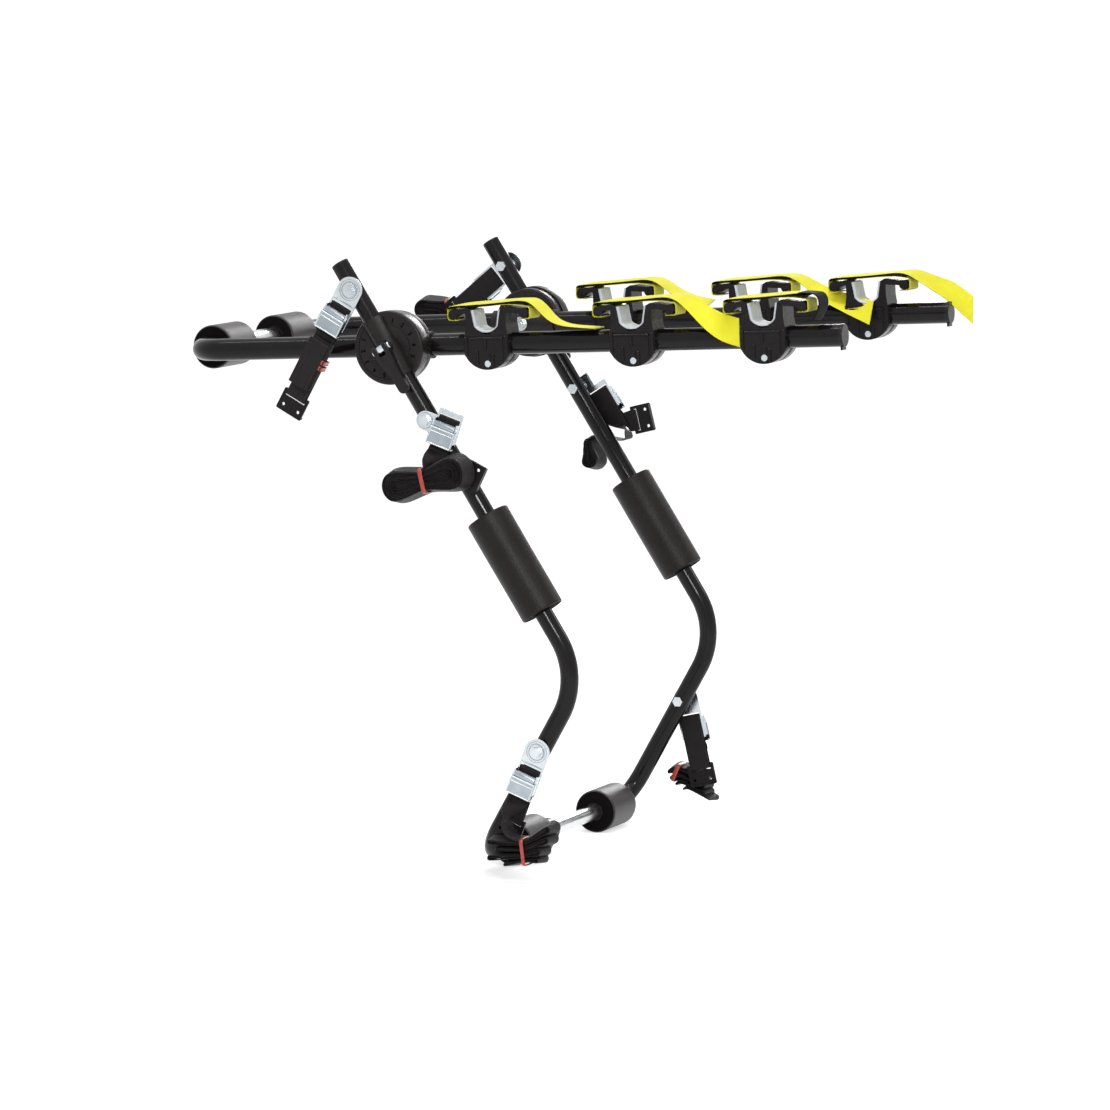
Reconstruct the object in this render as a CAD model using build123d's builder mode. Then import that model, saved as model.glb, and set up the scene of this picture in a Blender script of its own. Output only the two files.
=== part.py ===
from build123d import *
import os
from math import cos, pi, radians, sin, tan

# A bicycle rack that straps to the back of a car. Millimetres.
# X runs across the car, +Y points to the car and +Z up. The origin is the middle of the
# hub axis, about which the two carrying arms fold. Each side is drawn at +X, the right-hand
# side, and the left-hand pieces are its mirror image.

# Driving dimensions of the legs
leg_spacing = 527.0
leg_tube_d = 25.0
leg_wall = 1.5
leg_lean = 32.7
leg_rise = 130.5
knee_reach = 514.0
knee_radius = 100.0
foot_lean = 29.2
foot_length = 283.5
crossbar_bend = 45.0

# Driving dimensions of the arms
arm_inset = 42.0
arm_tube_d = 30.0
arm_wall = 1.5
arm_tilt = 2.9
arm_reach = 629.0
arm_back = 312.0

# The two telescopes: each tube ends this far from the middle plane, on its own side
foot_end = {"left": 41.0, "right": 135.0}
arm_end = {"left": 72.0, "right": 46.0}
telescope_gap = 0.3
lower_insert = 120.0
upper_insert = 58.0
insert_end_gap = 14.0

# Foam
pad_d = 60.0
pad_start = 263.0
pad_length = 149.5
roller_d = 60.0
roller_length = 83.0
roller_edge = {"left": 75.0, "right": 44.0}
low_roller_edge = {"left": 86.0, "right": 137.0}
foam_gap = 0.3
foam_round = 2.5

# Plugs
plug_wall = 3.0
plug_depth = 14.0
plug_gap = 0.1

# Collar on the mouth of the left leg tube
collar_d = leg_tube_d + 9.0
collar_length = 15.0
collar_lip = 3.0
running_gap = 0.3

# Hubs
hub_d = 100.0
arm_disc_d = hub_d - 3.0
disc_wall = 4.0
leg_disc_depth = 22.0
arm_disc_depth = 18.0
disc_gap = 0.5
split_depth = 18.7
bridge_wall = 3.4
leg_bridge_reach = hub_d / 2 - 6.0
arm_bridge_reach = hub_d / 2 - 3.0
bridge_bore_gap = 0.1
boss_d = 28.0
tooth_count = 24
tooth_height = 2.0
tooth_width = 3.5
tooth_ring_out = hub_d / 2 - 9.0
tooth_ring_in = tooth_ring_out - 10.0
tooth_plate = 3.0
tooth_plate_in = tooth_ring_in - 2.0
axle_d = 8.0
axle_gap = 0.05
pad_boss_d = 22.0

# Cam lever of the hub
cam_radius = 8.0
hub_lever_width = 22.0
hub_lever_tip_width = 15.0
hub_lever_length = 68.0
eye_width = 9.4
eye_d = 12.0
slot_gap = 0.3
cross_pin_d = 6.0

# Cradles
cradle_stations = {"left": (133.0, 342.0, 527.0), "right": (141.0, 345.0, 518.0)}
cradle_length = 64.0
cradle_width = arm_tube_d + 12.0
cradle_drop = arm_tube_d / 2 + 19.0
cradle_side_drop = arm_tube_d / 2 - 2.0
cradle_deck = arm_tube_d / 2 - 1.0
saddle_floor = arm_tube_d / 2 + 4.0
saddle_throat = saddle_floor + 6.0
saddle_width = 43.0
horn_top = saddle_floor + 31.0
bar_height = horn_top - 9.0
bar_back = 47.0
bar_front = 55.0
bar_d = 13.0
link_height = bar_height + 1.0
pad_thickness = 3.0
pad_gap = 0.1
pinch_slot = 3.0
pinch_screw_d = 5.0
pinch_head_d = 9.0
pinch_head = 4.0
pinch_drop = arm_tube_d / 2 + 11.0
strap_width = 38.0
strap_thickness = 2.4
strap_gap = 0.5

# Tie-down straps: bolts on the leg, and how far each strap leans from straight down to the car
top_bolt_rise = 92.0
side_bolt_drop = 112.0
foot_bolt_run = 116.0
strap_bolt_d = 8.0
strap_bolt_gap = 0.1
spacer_height = 3.7
spacer_d = 16.0
washer_d = 20.0
washer_height = 1.5
hex_flats = 13.0
hex_height = 5.0
sheet = 2.0
plate_lift = 4.0
buckle_end = 58.0
slot_at = 24.2
slot_length = 4.0
cheek_start = 28.0
cheek_top = 17.0
cam_at = 36.0
cam_lift = 13.9
cam_lobe_d = 10.4
cam_pin_d = 4.0
cam_plate_lift = 17.5
cam_tip_at = 64.0
webbing_width = 30.0
buckle_width = webbing_width + 6.0
cheek_in = webbing_width / 2 + 0.6
hook_width = webbing_width + 10.0
hank_lift = webbing_width / 2 + 12.0
webbing_thickness = 1.6
slot_turn = 2.0
under_lift = 2.0
over_lift = 7.4
rise_at = 70.0
rise_lift = 10.2
twist_start = 72.5
twist_length = 22.0
fold_pitch = 2.8
hook_sheet = 2.5
hook_length = 31.0
flap_length = 26.0

# Each strap: how far it leans from straight down to the car, where its bolt lies in the
# buckle's own frame (down the strap, to the car), and how far down its hook hangs
strap_lean = {
    ("left", "top"): 28.5,
    ("right", "top"): 50.0,
    ("left", "mid"): 18.8,
    ("right", "mid"): -33.0,
    ("left", "low"): 21.0,
    ("right", "low"): -13.0,
}
bolt_offset = {
    ("left", "mid"): (39.8, 32.7),
    ("right", "mid"): (7.0, 18.5),
}
hook_reach = {
    ("left", "top"): 169.0,
    ("right", "top"): 102.0,
    ("left", "low"): 102.0,
    ("right", "low"): 102.0,
}

# The side straps fold over to a hook beside them, which lies this far from the bolt in Y and Z
fold_at = 80.0
side_hook = {
    "left": (-66.5, -71.75),
    "right": (-92.5, -41.75),
}
lip_lift = {"top": -6.0, "mid": 0.6, "low": 0.6}

# Each coiled tail, in Y and Z from its bolt: the points that lead to it, its centre, the angle
# and length of its runs, its height at the ends and at the rubber band, and its number of runs
hanks = {
    ("right", "top"): (((84.3, -62.9),), (122.3, -74.4), -3.0, 62.0, 23.0, 17.0, 6, 1),
    ("left", "mid"): (((-12.5, -71.75),), (-5.5, -88.75), -9.5, 112.0, 44.0, 27.0, 10, -1),
    ("right", "mid"): (
        ((-65.5, -76.75), (-30.5, -78.75)),
        (-12.5, -100.75),
        92.0,
        38.0,
        24.0,
        17.0,
        6,
        -1,
    ),
    ("left", "low"): (((37.1, -99.2),), (14.1, -129.2), -3.0, 88.0, 43.0, 28.0, 9, -1),
    ("right", "low"): (((-24.9, -103.2),), (2.1, -122.2), 12.0, 62.0, 38.0, 23.0, 8, 1),
}

leg_x = leg_spacing / 2
arm_x = leg_x - arm_inset
disc_split = leg_x - split_depth
leg_skin = leg_x + leg_tube_d / 2
leg_bore = leg_tube_d - 2 * leg_wall
arm_bore = arm_tube_d - 2 * arm_wall

outward = Vector(1, 0, 0)
leg_down = Vector(0, -sin(radians(leg_lean)), -cos(radians(leg_lean)))
leg_out = Vector(0, -cos(radians(leg_lean)), sin(radians(leg_lean)))
foot_down = Vector(0, sin(radians(foot_lean)), -cos(radians(foot_lean)))
arm_out = Vector(0, -cos(radians(arm_tilt)), sin(radians(arm_tilt)))
arm_up = Vector(0, sin(radians(arm_tilt)), cos(radians(arm_tilt)))

bolt_places = {
    "top": outward * leg_x + leg_down * -top_bolt_rise,
    "mid": outward * leg_x + leg_down * side_bolt_drop,
    "low": outward * leg_x + leg_down * knee_reach + foot_down * foot_bolt_run,
}

os.makedirs("parts", exist_ok=True)


def leg_point(run):
    """A point of the leg's centreline, this far below the hub axis along it."""
    return outward * leg_x + leg_down * run


def foot_point(run):
    """A point of the lower leg's centreline, this far past the knee's corner."""
    return leg_point(knee_reach) + foot_down * run


def arm_point(run):
    """A point of the arm's centreline, this far from the hub axis to its free end."""
    return outward * arm_x + arm_out * run


def leg_plane(run):
    """A plane square to the upper leg, facing down it; its own Y faces away from the car."""
    return Plane(leg_point(run), x_dir=outward, z_dir=leg_down)


def arm_plane(run):
    """A plane square to the arm, facing its free end; its own Y faces up."""
    return Plane(arm_point(run), x_dir=outward, z_dir=arm_out)


def side_plane(x, y=0.0, z=0.0):
    """A plane that faces outward; its own X is +Y and its own Y is +Z."""
    return Plane((x, y, z), x_dir=(0, 1, 0), z_dir=outward)


def rod(plane, radius, length, bore=0.0, mode=Mode.ADD):
    """A round bar that stands on a plane, or a ring where it has a bore."""
    with BuildSketch(plane) as section:
        Circle(radius)
        if bore > 0:
            Circle(bore, mode=Mode.SUBTRACT)
    extrude(section.sketch, amount=length, mode=mode)


def slab(plane, x_range, y_range, height, mode=Mode.ADD):
    """A rectangular plate that stands on a plane, between two local X and two local Y."""
    with BuildSketch(plane) as section:
        with Locations((sum(x_range) / 2, sum(y_range) / 2)):
            Rectangle(x_range[1] - x_range[0], y_range[1] - y_range[0])
    extrude(section.sketch, amount=height, mode=mode)


def hexagon(plane, height, bore=0.0):
    """A hexagon nut, or the head of a bolt where it has no bore."""
    with BuildSketch(plane) as section:
        RegularPolygon(hex_flats / 2, 6, major_radius=False)
        if bore > 0:
            Circle(bore, mode=Mode.SUBTRACT)
    extrude(section.sketch, amount=height)


def rounded_line(route):
    """Straight runs joined by tangent arcs, from a list of (point, turn radius)."""
    last = Vector(*route[0][0])
    for (before, start_turn), (corner, turn), (after, end_turn) in zip(route, route[1:], route[2:]):
        corner = Vector(*corner)
        back = Vector(*before) - corner
        ahead = Vector(*after) - corner
        half_turn = radians(180 - back.get_angle(ahead)) / 2
        if half_turn < 0.01:
            continue
        reach = min(turn * tan(half_turn), 0.49 * back.length, 0.49 * ahead.length)
        radius = reach / tan(half_turn)
        middle = (back.normalized() + ahead.normalized()).normalized()
        start = corner + back.normalized() * reach
        end = corner + ahead.normalized() * reach
        crest = corner + middle * (radius / cos(half_turn) - radius)
        Line(tuple(last), tuple(start))
        ThreePointArc(tuple(start), tuple(crest), tuple(end))
        last = end
    Line(tuple(last), tuple(Vector(*route[-1][0])))


def tube(route, outer_d, bore_d):
    """A bent tube along a list of (point, turn radius)."""
    with BuildLine() as line:
        rounded_line(route)
    path = Wire(line.line.edges())
    with BuildSketch(Plane(path @ 0, z_dir=path % 0)) as section:
        Circle(outer_d / 2)
        Circle(bore_d / 2, mode=Mode.SUBTRACT)
    sweep(section.sketch, path=path)


def ribbon(plane, route, width=webbing_width, thickness=webbing_thickness):
    """A flat band, whose edge-on line is a list of (point, turn radius) on a plane."""
    with BuildLine(plane) as line:
        rounded_line(route)
    path = Wire(line.line.edges())
    start = Plane(path @ 0, x_dir=plane.z_dir, z_dir=path % 0)
    with BuildSketch(start) as section:
        Rectangle(width, thickness)
    sweep(section.sketch, path=path)


def on_side(side):
    """Turns what was drawn at +X into its mirror image for the left-hand side."""
    if side == "left":
        mirror(about=Plane.YZ, mode=Mode.REPLACE)


def save(piece, name):
    """Names a finished piece and writes it."""
    piece.part.label = name
    export_step(piece.part, f"parts/{name}.step")


# Legs

def make_leg_tube(side):
    """One bent leg with its half of the lower crossbar, drilled for its bolts."""
    corner = foot_point(foot_length)
    route = [
        (leg_point(-leg_rise), 0),
        (leg_point(knee_reach), knee_radius),
        (corner, crossbar_bend),
        (Vector(foot_end[side], corner.Y, corner.Z), 0),
    ]
    with BuildPart() as leg:
        tube(route, leg_tube_d, leg_bore)
        for place in [leg_point(0), *bolt_places.values()]:
            start = side_plane(leg_x - leg_tube_d, place.Y, place.Z)
            rod(start, strap_bolt_d / 2 + strap_bolt_gap, 2 * leg_tube_d, mode=Mode.SUBTRACT)
        on_side(side)
    save(leg, f"{side}_leg_tube")


def make_leg_plug(side):
    """The domed plastic plug in the top of a leg."""
    top = leg_plane(-leg_rise)
    with BuildPart() as plug:
        rod(top, leg_bore / 2 - plug_gap, plug_depth, leg_bore / 2 - plug_wall)
        rod(top, leg_tube_d / 2, -plug_wall)
        rim = plug.edges().filter_by(GeomType.CIRCLE).sort_by(Axis(top.origin, leg_down))[0]
        fillet(rim, plug_wall * 0.6)
        on_side(side)
    save(plug, f"{side}_leg_plug")


def make_leg_pad(side):
    """The foam sleeve that rests on the car."""
    with BuildPart() as pad:
        rod(leg_plane(pad_start), pad_d / 2, pad_length, leg_tube_d / 2 + foam_gap)
        rims = pad.edges().filter_by(lambda edge: abs(edge.length - pi * pad_d) < 1)
        fillet(rims, foam_round)
        on_side(side)
    save(pad, f"{side}_leg_pad")


def make_roller(name, side, edge, height, tube_d):
    """A foam roller on one half of a crossbar, starting this far from the middle plane."""
    with BuildPart() as roller:
        start = Plane((edge, height.Y, height.Z), z_dir=outward)
        rod(start, roller_d / 2, roller_length, tube_d / 2 + foam_gap)
        rims = roller.edges().filter_by(lambda found: abs(found.length - pi * roller_d) < 1)
        fillet(rims, foam_round)
        on_side(side)
    save(roller, name)


def make_inner_tube(name, place, start_x, end_x, bore):
    """A bright tube that telescopes in the left crossbar and is fixed in the right one."""
    with BuildPart() as inner:
        outer = bore / 2 - telescope_gap
        start = Plane((start_x, place.Y, place.Z), z_dir=outward)
        rod(start, outer, end_x - start_x, outer - leg_wall)
    save(inner, name)


def make_collar():
    """The twist-lock ring on the mouth of the left leg tube, with its grip ribs."""
    place = foot_point(foot_length)
    mouth = foot_end["left"]
    grip_count = 10
    with BuildPart() as collar:
        front = Plane((mouth - collar_lip, place.Y, place.Z), z_dir=outward)
        rod(front, collar_d / 2, collar_lip + collar_length, leg_tube_d / 2 + running_gap)
        inner = leg_bore / 2 - telescope_gap + running_gap
        rod(front, collar_d / 2 - 1.5, collar_lip - running_gap, inner)
        with BuildSketch(front.offset(collar_lip)) as grip:
            with PolarLocations(collar_d / 2, grip_count):
                Circle(1.3)
        extrude(grip.sketch, amount=collar_length, mode=Mode.SUBTRACT)
        on_side("left")
    save(collar, "lower_collar")


# Arms

def make_arm_tube(side):
    """One carrying arm with its half of the car-side crossbar."""
    corner = arm_point(-arm_back)
    route = [
        (arm_point(arm_reach), 0),
        (corner, crossbar_bend),
        (Vector(arm_end[side], corner.Y, corner.Z), 0),
    ]
    with BuildPart() as arm:
        tube(route, arm_tube_d, arm_bore)
        start = side_plane(arm_x - arm_tube_d)
        rod(start, axle_d / 2 + strap_bolt_gap, 2 * arm_tube_d, mode=Mode.SUBTRACT)
        on_side(side)
    save(arm, f"{side}_arm_tube")


def make_arm_plug(side):
    """The end cap of an arm, with the stop lip below."""
    end = arm_plane(arm_reach)
    lip_width = 14.0
    lip_drop = 4.0
    with BuildPart() as plug:
        rod(end, arm_bore / 2 - plug_gap, -plug_depth, arm_bore / 2 - plug_wall)
        rod(end, arm_tube_d / 2 + 0.5, plug_wall + 2)
        reach = (-arm_tube_d / 2 - lip_drop, -arm_tube_d / 2 + 2)
        slab(end, (-lip_width / 2, lip_width / 2), reach, plug_wall)
        rim = plug.edges().filter_by(GeomType.CIRCLE).sort_by(Axis(end.origin, arm_out))[-1]
        fillet(rim, 1.5)
        on_side(side)
    save(plug, f"{side}_arm_plug")


# Hubs

def make_leg_shell(side):
    """The outer half of a hub: a dial disc with a bridge over the leg and a toothed ring."""
    split = disc_split + disc_gap / 2
    face = split + leg_disc_depth
    bridge_radius = leg_tube_d / 2 + bridge_wall
    with BuildPart() as shell:
        rod(side_plane(split), hub_d / 2, leg_disc_depth)
        rim = shell.edges().filter_by(GeomType.CIRCLE).sort_by(Axis.X)[-1]
        fillet(rim, 3.5)
        pocket = leg_disc_depth - disc_wall
        rod(side_plane(split), hub_d / 2 - disc_wall, pocket, mode=Mode.SUBTRACT)
        rod(side_plane(face - 1.2), hub_d / 2 - 7, 2, hub_d / 2 - 19, mode=Mode.SUBTRACT)
        rod(side_plane(split), boss_d / 2, pocket)
        plate = side_plane(split + tooth_height)
        rod(plate, hub_d / 2 - disc_wall, tooth_plate, tooth_plate_in)
        add_teeth(split)
        rod(leg_plane(-leg_bridge_reach), bridge_radius, 2 * leg_bridge_reach)
        rod(side_plane(leg_x), pad_boss_d / 2, leg_tube_d / 2 + bridge_wall + 1)
        channel = leg_tube_d / 2 + bridge_bore_gap
        rod(leg_plane(-hub_d), channel, 2 * hub_d, mode=Mode.SUBTRACT)
        rod(side_plane(split - 1), axle_d / 2 + strap_bolt_gap, 50, mode=Mode.SUBTRACT)
        on_side(side)
    save(shell, f"{side}_hub_leg_shell")


def add_teeth(start_x):
    """A ring of radial teeth whose tips or roots lie on this plane."""
    with BuildSketch(side_plane(start_x)) as ring:
        with PolarLocations((tooth_ring_in + tooth_ring_out) / 2, tooth_count):
            Rectangle(tooth_ring_out - tooth_ring_in, tooth_width)
    extrude(ring.sketch, amount=tooth_height)


def make_arm_shell(side):
    """The inner half of a hub, with a bridge over the arm and a toothed ring."""
    split = disc_split - disc_gap / 2
    back = split - arm_disc_depth
    bridge_radius = arm_tube_d / 2 + bridge_wall
    with BuildPart() as shell:
        rod(side_plane(back), arm_disc_d / 2, arm_disc_depth)
        rim = shell.edges().filter_by(GeomType.CIRCLE).sort_by(Axis.X)[0]
        fillet(rim, 3.5)
        pocket = arm_disc_depth - disc_wall
        rod(side_plane(split - pocket), arm_disc_d / 2 - disc_wall, pocket + 1, mode=Mode.SUBTRACT)
        rod(side_plane(split - pocket), boss_d / 2, pocket)
        plate = side_plane(split - tooth_height - tooth_plate)
        rod(plate, arm_disc_d / 2 - disc_wall, tooth_plate, tooth_plate_in)
        add_teeth(split - tooth_height)
        rod(arm_plane(-arm_bridge_reach), bridge_radius, 2 * arm_bridge_reach)
        rod(side_plane(arm_x - bridge_radius - 1), pad_boss_d / 2, bridge_radius)
        channel = arm_tube_d / 2 + bridge_bore_gap
        rod(arm_plane(-hub_d), channel, 2 * hub_d, mode=Mode.SUBTRACT)
        rod(side_plane(arm_x - 30), axle_d / 2 + axle_gap, 70, mode=Mode.SUBTRACT)
        on_side(side)
    save(shell, f"{side}_hub_arm_shell")


def hub_pin_x():
    """Where the cross pin of the hub's cam lever lies, outward of the bridge boss."""
    return leg_skin + bridge_wall + 1 + running_gap + cam_radius


def make_axle(side):
    """The hub axle: an eye bolt with its cross pin, washer and nut."""
    pin = Vector(hub_pin_x(), 0, 0)
    inner_face = arm_x - arm_tube_d / 2 - bridge_wall - 1 - running_gap
    nut_face = inner_face - washer_height - hex_height
    half_pin = hub_lever_width / 2 + running_gap
    with BuildPart() as axle:
        rod(side_plane(nut_face - 2), axle_d / 2, pin.X - nut_face + 2)
        rod(side_plane(inner_face - washer_height), washer_d / 2, washer_height)
        hexagon(side_plane(nut_face), hex_height)
        rod(Plane(pin - leg_out * (eye_width / 2), z_dir=leg_out), eye_d / 2, eye_width)
        rod(Plane(pin - leg_out * half_pin, z_dir=leg_out), cross_pin_d / 2, 2 * half_pin)
        for face in (-1, 1):
            cap = Plane(pin + leg_out * (face * half_pin), z_dir=leg_out * face)
            rod(cap, cross_pin_d / 2 + 2, 2.5)
            rim = axle.edges().filter_by(GeomType.CIRCLE).sort_by(Axis(pin, leg_out * face))[-1]
            fillet(rim, 1.8)
        on_side(side)
    save(axle, f"{side}_hub_axle")


def make_hub_lever(side):
    """The cam lever that draws the two halves of a hub together."""
    pin_x = hub_pin_x()
    profile_plane = Plane((pin_x, 0, 0), x_dir=leg_down, z_dir=leg_out)
    plan_plane = Plane((pin_x - 20, 0, 0), x_dir=leg_down, z_dir=outward)
    half = hub_lever_width / 2
    tip = hub_lever_tip_width / 2
    with BuildPart() as lever:
        with BuildSketch(profile_plane) as profile:
            Circle(cam_radius)
            with BuildLine():
                Polyline((0, -5.2), (22, -5.2), (40, -3.6), (hub_lever_length, -3.2))
                Line((hub_lever_length, -3.2), (hub_lever_length, 3.4))
                Spline(
                    (hub_lever_length, 3.4),
                    (44, 4.6),
                    (20, 6.2),
                    (0, cam_radius),
                    tangents=[(-1, 0), (-1, 0)],
                )
                Line((0, cam_radius), (0, -5.2))
            make_face()
        extrude(profile.sketch, amount=half, both=True)
        with BuildSketch(plan_plane) as plan:
            with BuildLine():
                Polyline(
                    (-cam_radius - 1, -half),
                    (14, -half),
                    (38, -tip),
                    (hub_lever_length - tip, -tip),
                )
                ThreePointArc(
                    (hub_lever_length - tip, -tip),
                    (hub_lever_length, 0),
                    (hub_lever_length - tip, tip),
                )
                Polyline(
                    (hub_lever_length - tip, tip),
                    (38, tip),
                    (14, half),
                    (-cam_radius - 1, half),
                    (-cam_radius - 1, -half),
                )
            make_face()
        extrude(plan.sketch, amount=40, mode=Mode.INTERSECT)
        gap = eye_width / 2 + slot_gap
        reach = eye_d / 2 + 4
        slab(plan_plane, (-cam_radius - 2, reach), (-gap, gap), 40, mode=Mode.SUBTRACT)
        bore = Plane(Vector(pin_x, 0, 0) - leg_out * hub_lever_width, z_dir=leg_out)
        rod(bore, cross_pin_d / 2 + axle_gap, 2 * hub_lever_width, mode=Mode.SUBTRACT)
        on_side(side)
    save(lever, f"{side}_hub_lever")


# Cradles

def cradle_plane(station):
    """The side view of a cradle: its own X runs to the arm's free end, its own Y up."""
    return Plane(arm_point(station), x_dir=arm_out, z_dir=arm_out.cross(arm_up))


def make_cradle_bodies(side):
    """Three clamps on the arm, each with a saddle between two strap bars."""
    half = cradle_length / 2
    inner = saddle_width / 2
    throat = saddle_wall(saddle_throat)
    floor = saddle_floor - pad_thickness
    with BuildPart() as bodies:
        for station in cradle_stations[side]:
            view = cradle_plane(station)
            with BuildSketch(view) as outline:
                with BuildLine():
                    Line((-half, cradle_deck), (-half, -cradle_side_drop))
                    ThreePointArc(
                        (-half, -cradle_side_drop), (0, -cradle_drop), (half, -cradle_side_drop)
                    )
                    Line((half, -cradle_side_drop), (half, cradle_deck))
                    Line((half, cradle_deck), (-half, cradle_deck))
                make_face()
                for end, bar in ((-1, -bar_back), (1, bar_front)):
                    with BuildLine():
                        Polyline(
                            (end * (half - 1), cradle_deck - 1),
                            (end * (half - 3), cradle_deck + 13),
                            (end * (half - 3), link_height),
                            (bar, bar_height - 1),
                            (bar, bar_height + bar_d / 2 - 0.5),
                            (end * (half - 5), horn_top),
                            (end * inner, horn_top - 3),
                            (end * (inner - 4), saddle_floor + 7),
                            (end * 6, saddle_floor - 3),
                            (end * 6, cradle_deck - 1),
                            (end * (half - 1), cradle_deck - 1),
                        )
                    make_face()
                    with Locations((bar, bar_height)):
                        Circle(bar_d / 2)
                with BuildLine():
                    Line((-inner, horn_top + 1), (-throat, saddle_throat))
                    ThreePointArc((-throat, saddle_throat), (0, floor), (throat, saddle_throat))
                    Line((throat, saddle_throat), (inner, horn_top + 1))
                    Line((inner, horn_top + 1), (-inner, horn_top + 1))
                make_face(mode=Mode.SUBTRACT)
            extrude(outline.sketch, amount=cradle_width / 2, both=True)
            outer_face = Plane(
                arm_point(station) + outward * (cradle_width / 2),
                x_dir=arm_out,
                z_dir=arm_out.cross(arm_up),
            )
            groove = cradle_deck - 4
            for face_plane in (outer_face, outer_face.offset(cradle_width)):
                start = face_plane.offset(-1)
                slab(start, (-half, half), (groove, groove + 2), 2, mode=Mode.SUBTRACT)
                slab(start, (half - 9, half - 7), (-20, groove), 2, mode=Mode.SUBTRACT)
                slab(start, (4, 6), (-cradle_drop, 3 - arm_tube_d / 2), 2, mode=Mode.SUBTRACT)
            rod(
                arm_plane(station - half - 1),
                arm_tube_d / 2 + bridge_bore_gap,
                cradle_length + 2,
                mode=Mode.SUBTRACT,
            )
            slit = arm_plane(station - half - 1)
            slab(
                slit,
                (-pinch_slot / 2, pinch_slot / 2),
                (-cradle_drop - 1, 0),
                cradle_length + 2,
                mode=Mode.SUBTRACT,
            )
            screw = pinch_plane(station)
            rod(screw, pinch_screw_d / 2, cradle_width + 2, mode=Mode.SUBTRACT)
            rod(screw, pinch_head_d / 2, pinch_head + 2, mode=Mode.SUBTRACT)
            far = screw.offset(cradle_width + 2)
            rod(far, pinch_head_d / 2, -pinch_head - 2, mode=Mode.SUBTRACT)
        on_side(side)
    save(bodies, f"{side}_cradle_bodies")


def pinch_plane(station):
    """Where the pinch screw of a cradle starts, 1 mm off its inner face."""
    place = arm_point(station) - arm_up * pinch_drop
    return side_plane(arm_x - cradle_width / 2 - 1, place.Y, place.Z)


def make_cradle_screws(side):
    """The pinch screws of the three cradles, with domed heads and round nuts."""
    with BuildPart() as screws:
        for station in cradle_stations[side]:
            start = pinch_plane(station).offset(2)
            length = cradle_width - 2
            rod(start, pinch_screw_d / 2, length)
            rod(start, pinch_head_d / 2 - pad_gap, pinch_head - 1)
            rod(start.offset(length), pinch_head_d / 2 - pad_gap, 1 - pinch_head)
        on_side(side)
    save(screws, f"{side}_cradle_screws")


def saddle_wall(height):
    """Half the width of a saddle's mouth at this height above the arm's centreline."""
    share = (horn_top + 1 - height) / (horn_top + 1 - saddle_throat)
    return saddle_width / 2 - 4 * share


def make_cradle_pads(side):
    """The soft liners of the three saddles."""
    rim = horn_top - 4
    outer = saddle_wall(rim) - pad_gap
    throat = saddle_wall(saddle_throat) - pad_gap
    floor = saddle_floor - pad_thickness + pad_gap
    thin = pad_thickness
    low = saddle_throat + pad_gap
    high = low + thin / 2
    with BuildPart() as pads:
        for station in cradle_stations[side]:
            with BuildSketch(cradle_plane(station)) as liner:
                with BuildLine():
                    Line((-outer, rim), (-throat, low))
                    ThreePointArc((-throat, low), (0, floor), (throat, low))
                    Line((throat, low), (outer, rim))
                    Line((outer, rim), (outer - thin, rim))
                    Line((outer - thin, rim), (throat - thin, high))
                    ThreePointArc((throat - thin, high), (0, floor + thin), (thin - throat, high))
                    Line((thin - throat, high), (thin - outer, rim))
                    Line((thin - outer, rim), (-outer, rim))
                make_face()
            extrude(liner.sketch, amount=cradle_width / 2 - 1, both=True)
        on_side(side)
    save(pads, f"{side}_cradle_pads")


# Route of each free strap tail, from the arm's hub end to its free end: how far along the arm
# from its cradle, and how high above the arm's skin
tail_routes = {
    "left": (
        ((86.0, 18.0), (106.0, 7.0), (152.0, 3.5)),
        ((86.0, 20.0), (110.0, 9.0), (150.0, 3.5)),
        ((77.0, 30.0), (76.0, 14.0), (66.0, 5.0)),
    ),
    "right": (
        ((86.0, 24.0), (115.0, 12.0), (142.0, 6.0)),
        ((92.0, 22.0), (112.0, 12.0), (136.0, 6.0)),
        ((88.0, 22.0), (112.0, 12.0), (148.0, 5.0)),
    ),
}


def make_cradle_straps(side):
    """The hook-and-loop straps: round one bar, over the saddle and on to the free tail."""
    reach = bar_d / 2 + strap_gap + strap_thickness / 2
    top = horn_top + strap_gap + strap_thickness / 2 + 1
    low = bar_height - reach
    with BuildPart() as straps:
        for station, tail in zip(cradle_stations[side], tail_routes[side]):
            view = cradle_plane(station)
            near = -bar_back - reach
            far = bar_front + reach
            over = [
                ((-bar_back + 5, low), 0),
                ((near, low), reach * 0.8),
                ((near, top - 2), reach * 0.8),
                ((-20, top), 20),
                ((15, top + 2), 20),
                ((bar_front - 10, top + 5), 14),
                ((bar_front + 9, top + 1), 12),
            ]
            skin = arm_tube_d / 2
            over += [((along, skin + rise), 14) for along, rise in tail]
            ribbon(view, over, strap_width, strap_thickness)
            under_top = bar_height + reach
            under = [
                ((bar_front - 7, under_top), 0),
                ((far, under_top), reach * 0.8),
                ((far, low), reach * 0.8),
                ((bar_front - 6, low), 0),
            ]
            ribbon(view, under, strap_width, strap_thickness)
        on_side(side)
    save(straps, f"{side}_cradle_straps")


# Tie-down straps

def strap_down(side, level):
    """Unit vector down a strap."""
    lean = radians(strap_lean[side, level])
    return Vector(0, sin(lean), -cos(lean))


def to_car(down):
    """The unit vector square to a strap that points to the car."""
    return outward.cross(down)


def buckle_origin(side, level):
    """The origin of a buckle's own frame, on the leg's outer skin."""
    down = strap_down(side, level)
    along, across = bolt_offset.get((side, level), (0.0, 0.0))
    bolt = bolt_places[level]
    start = bolt - down * along - to_car(down) * across
    return Vector(leg_skin, start.Y, start.Z)


def face_plane(origin, down, lift):
    """A plane that faces outward: its own X runs down the strap, its own Y to the car."""
    return Plane(origin + outward * lift, x_dir=down, z_dir=outward)


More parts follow.
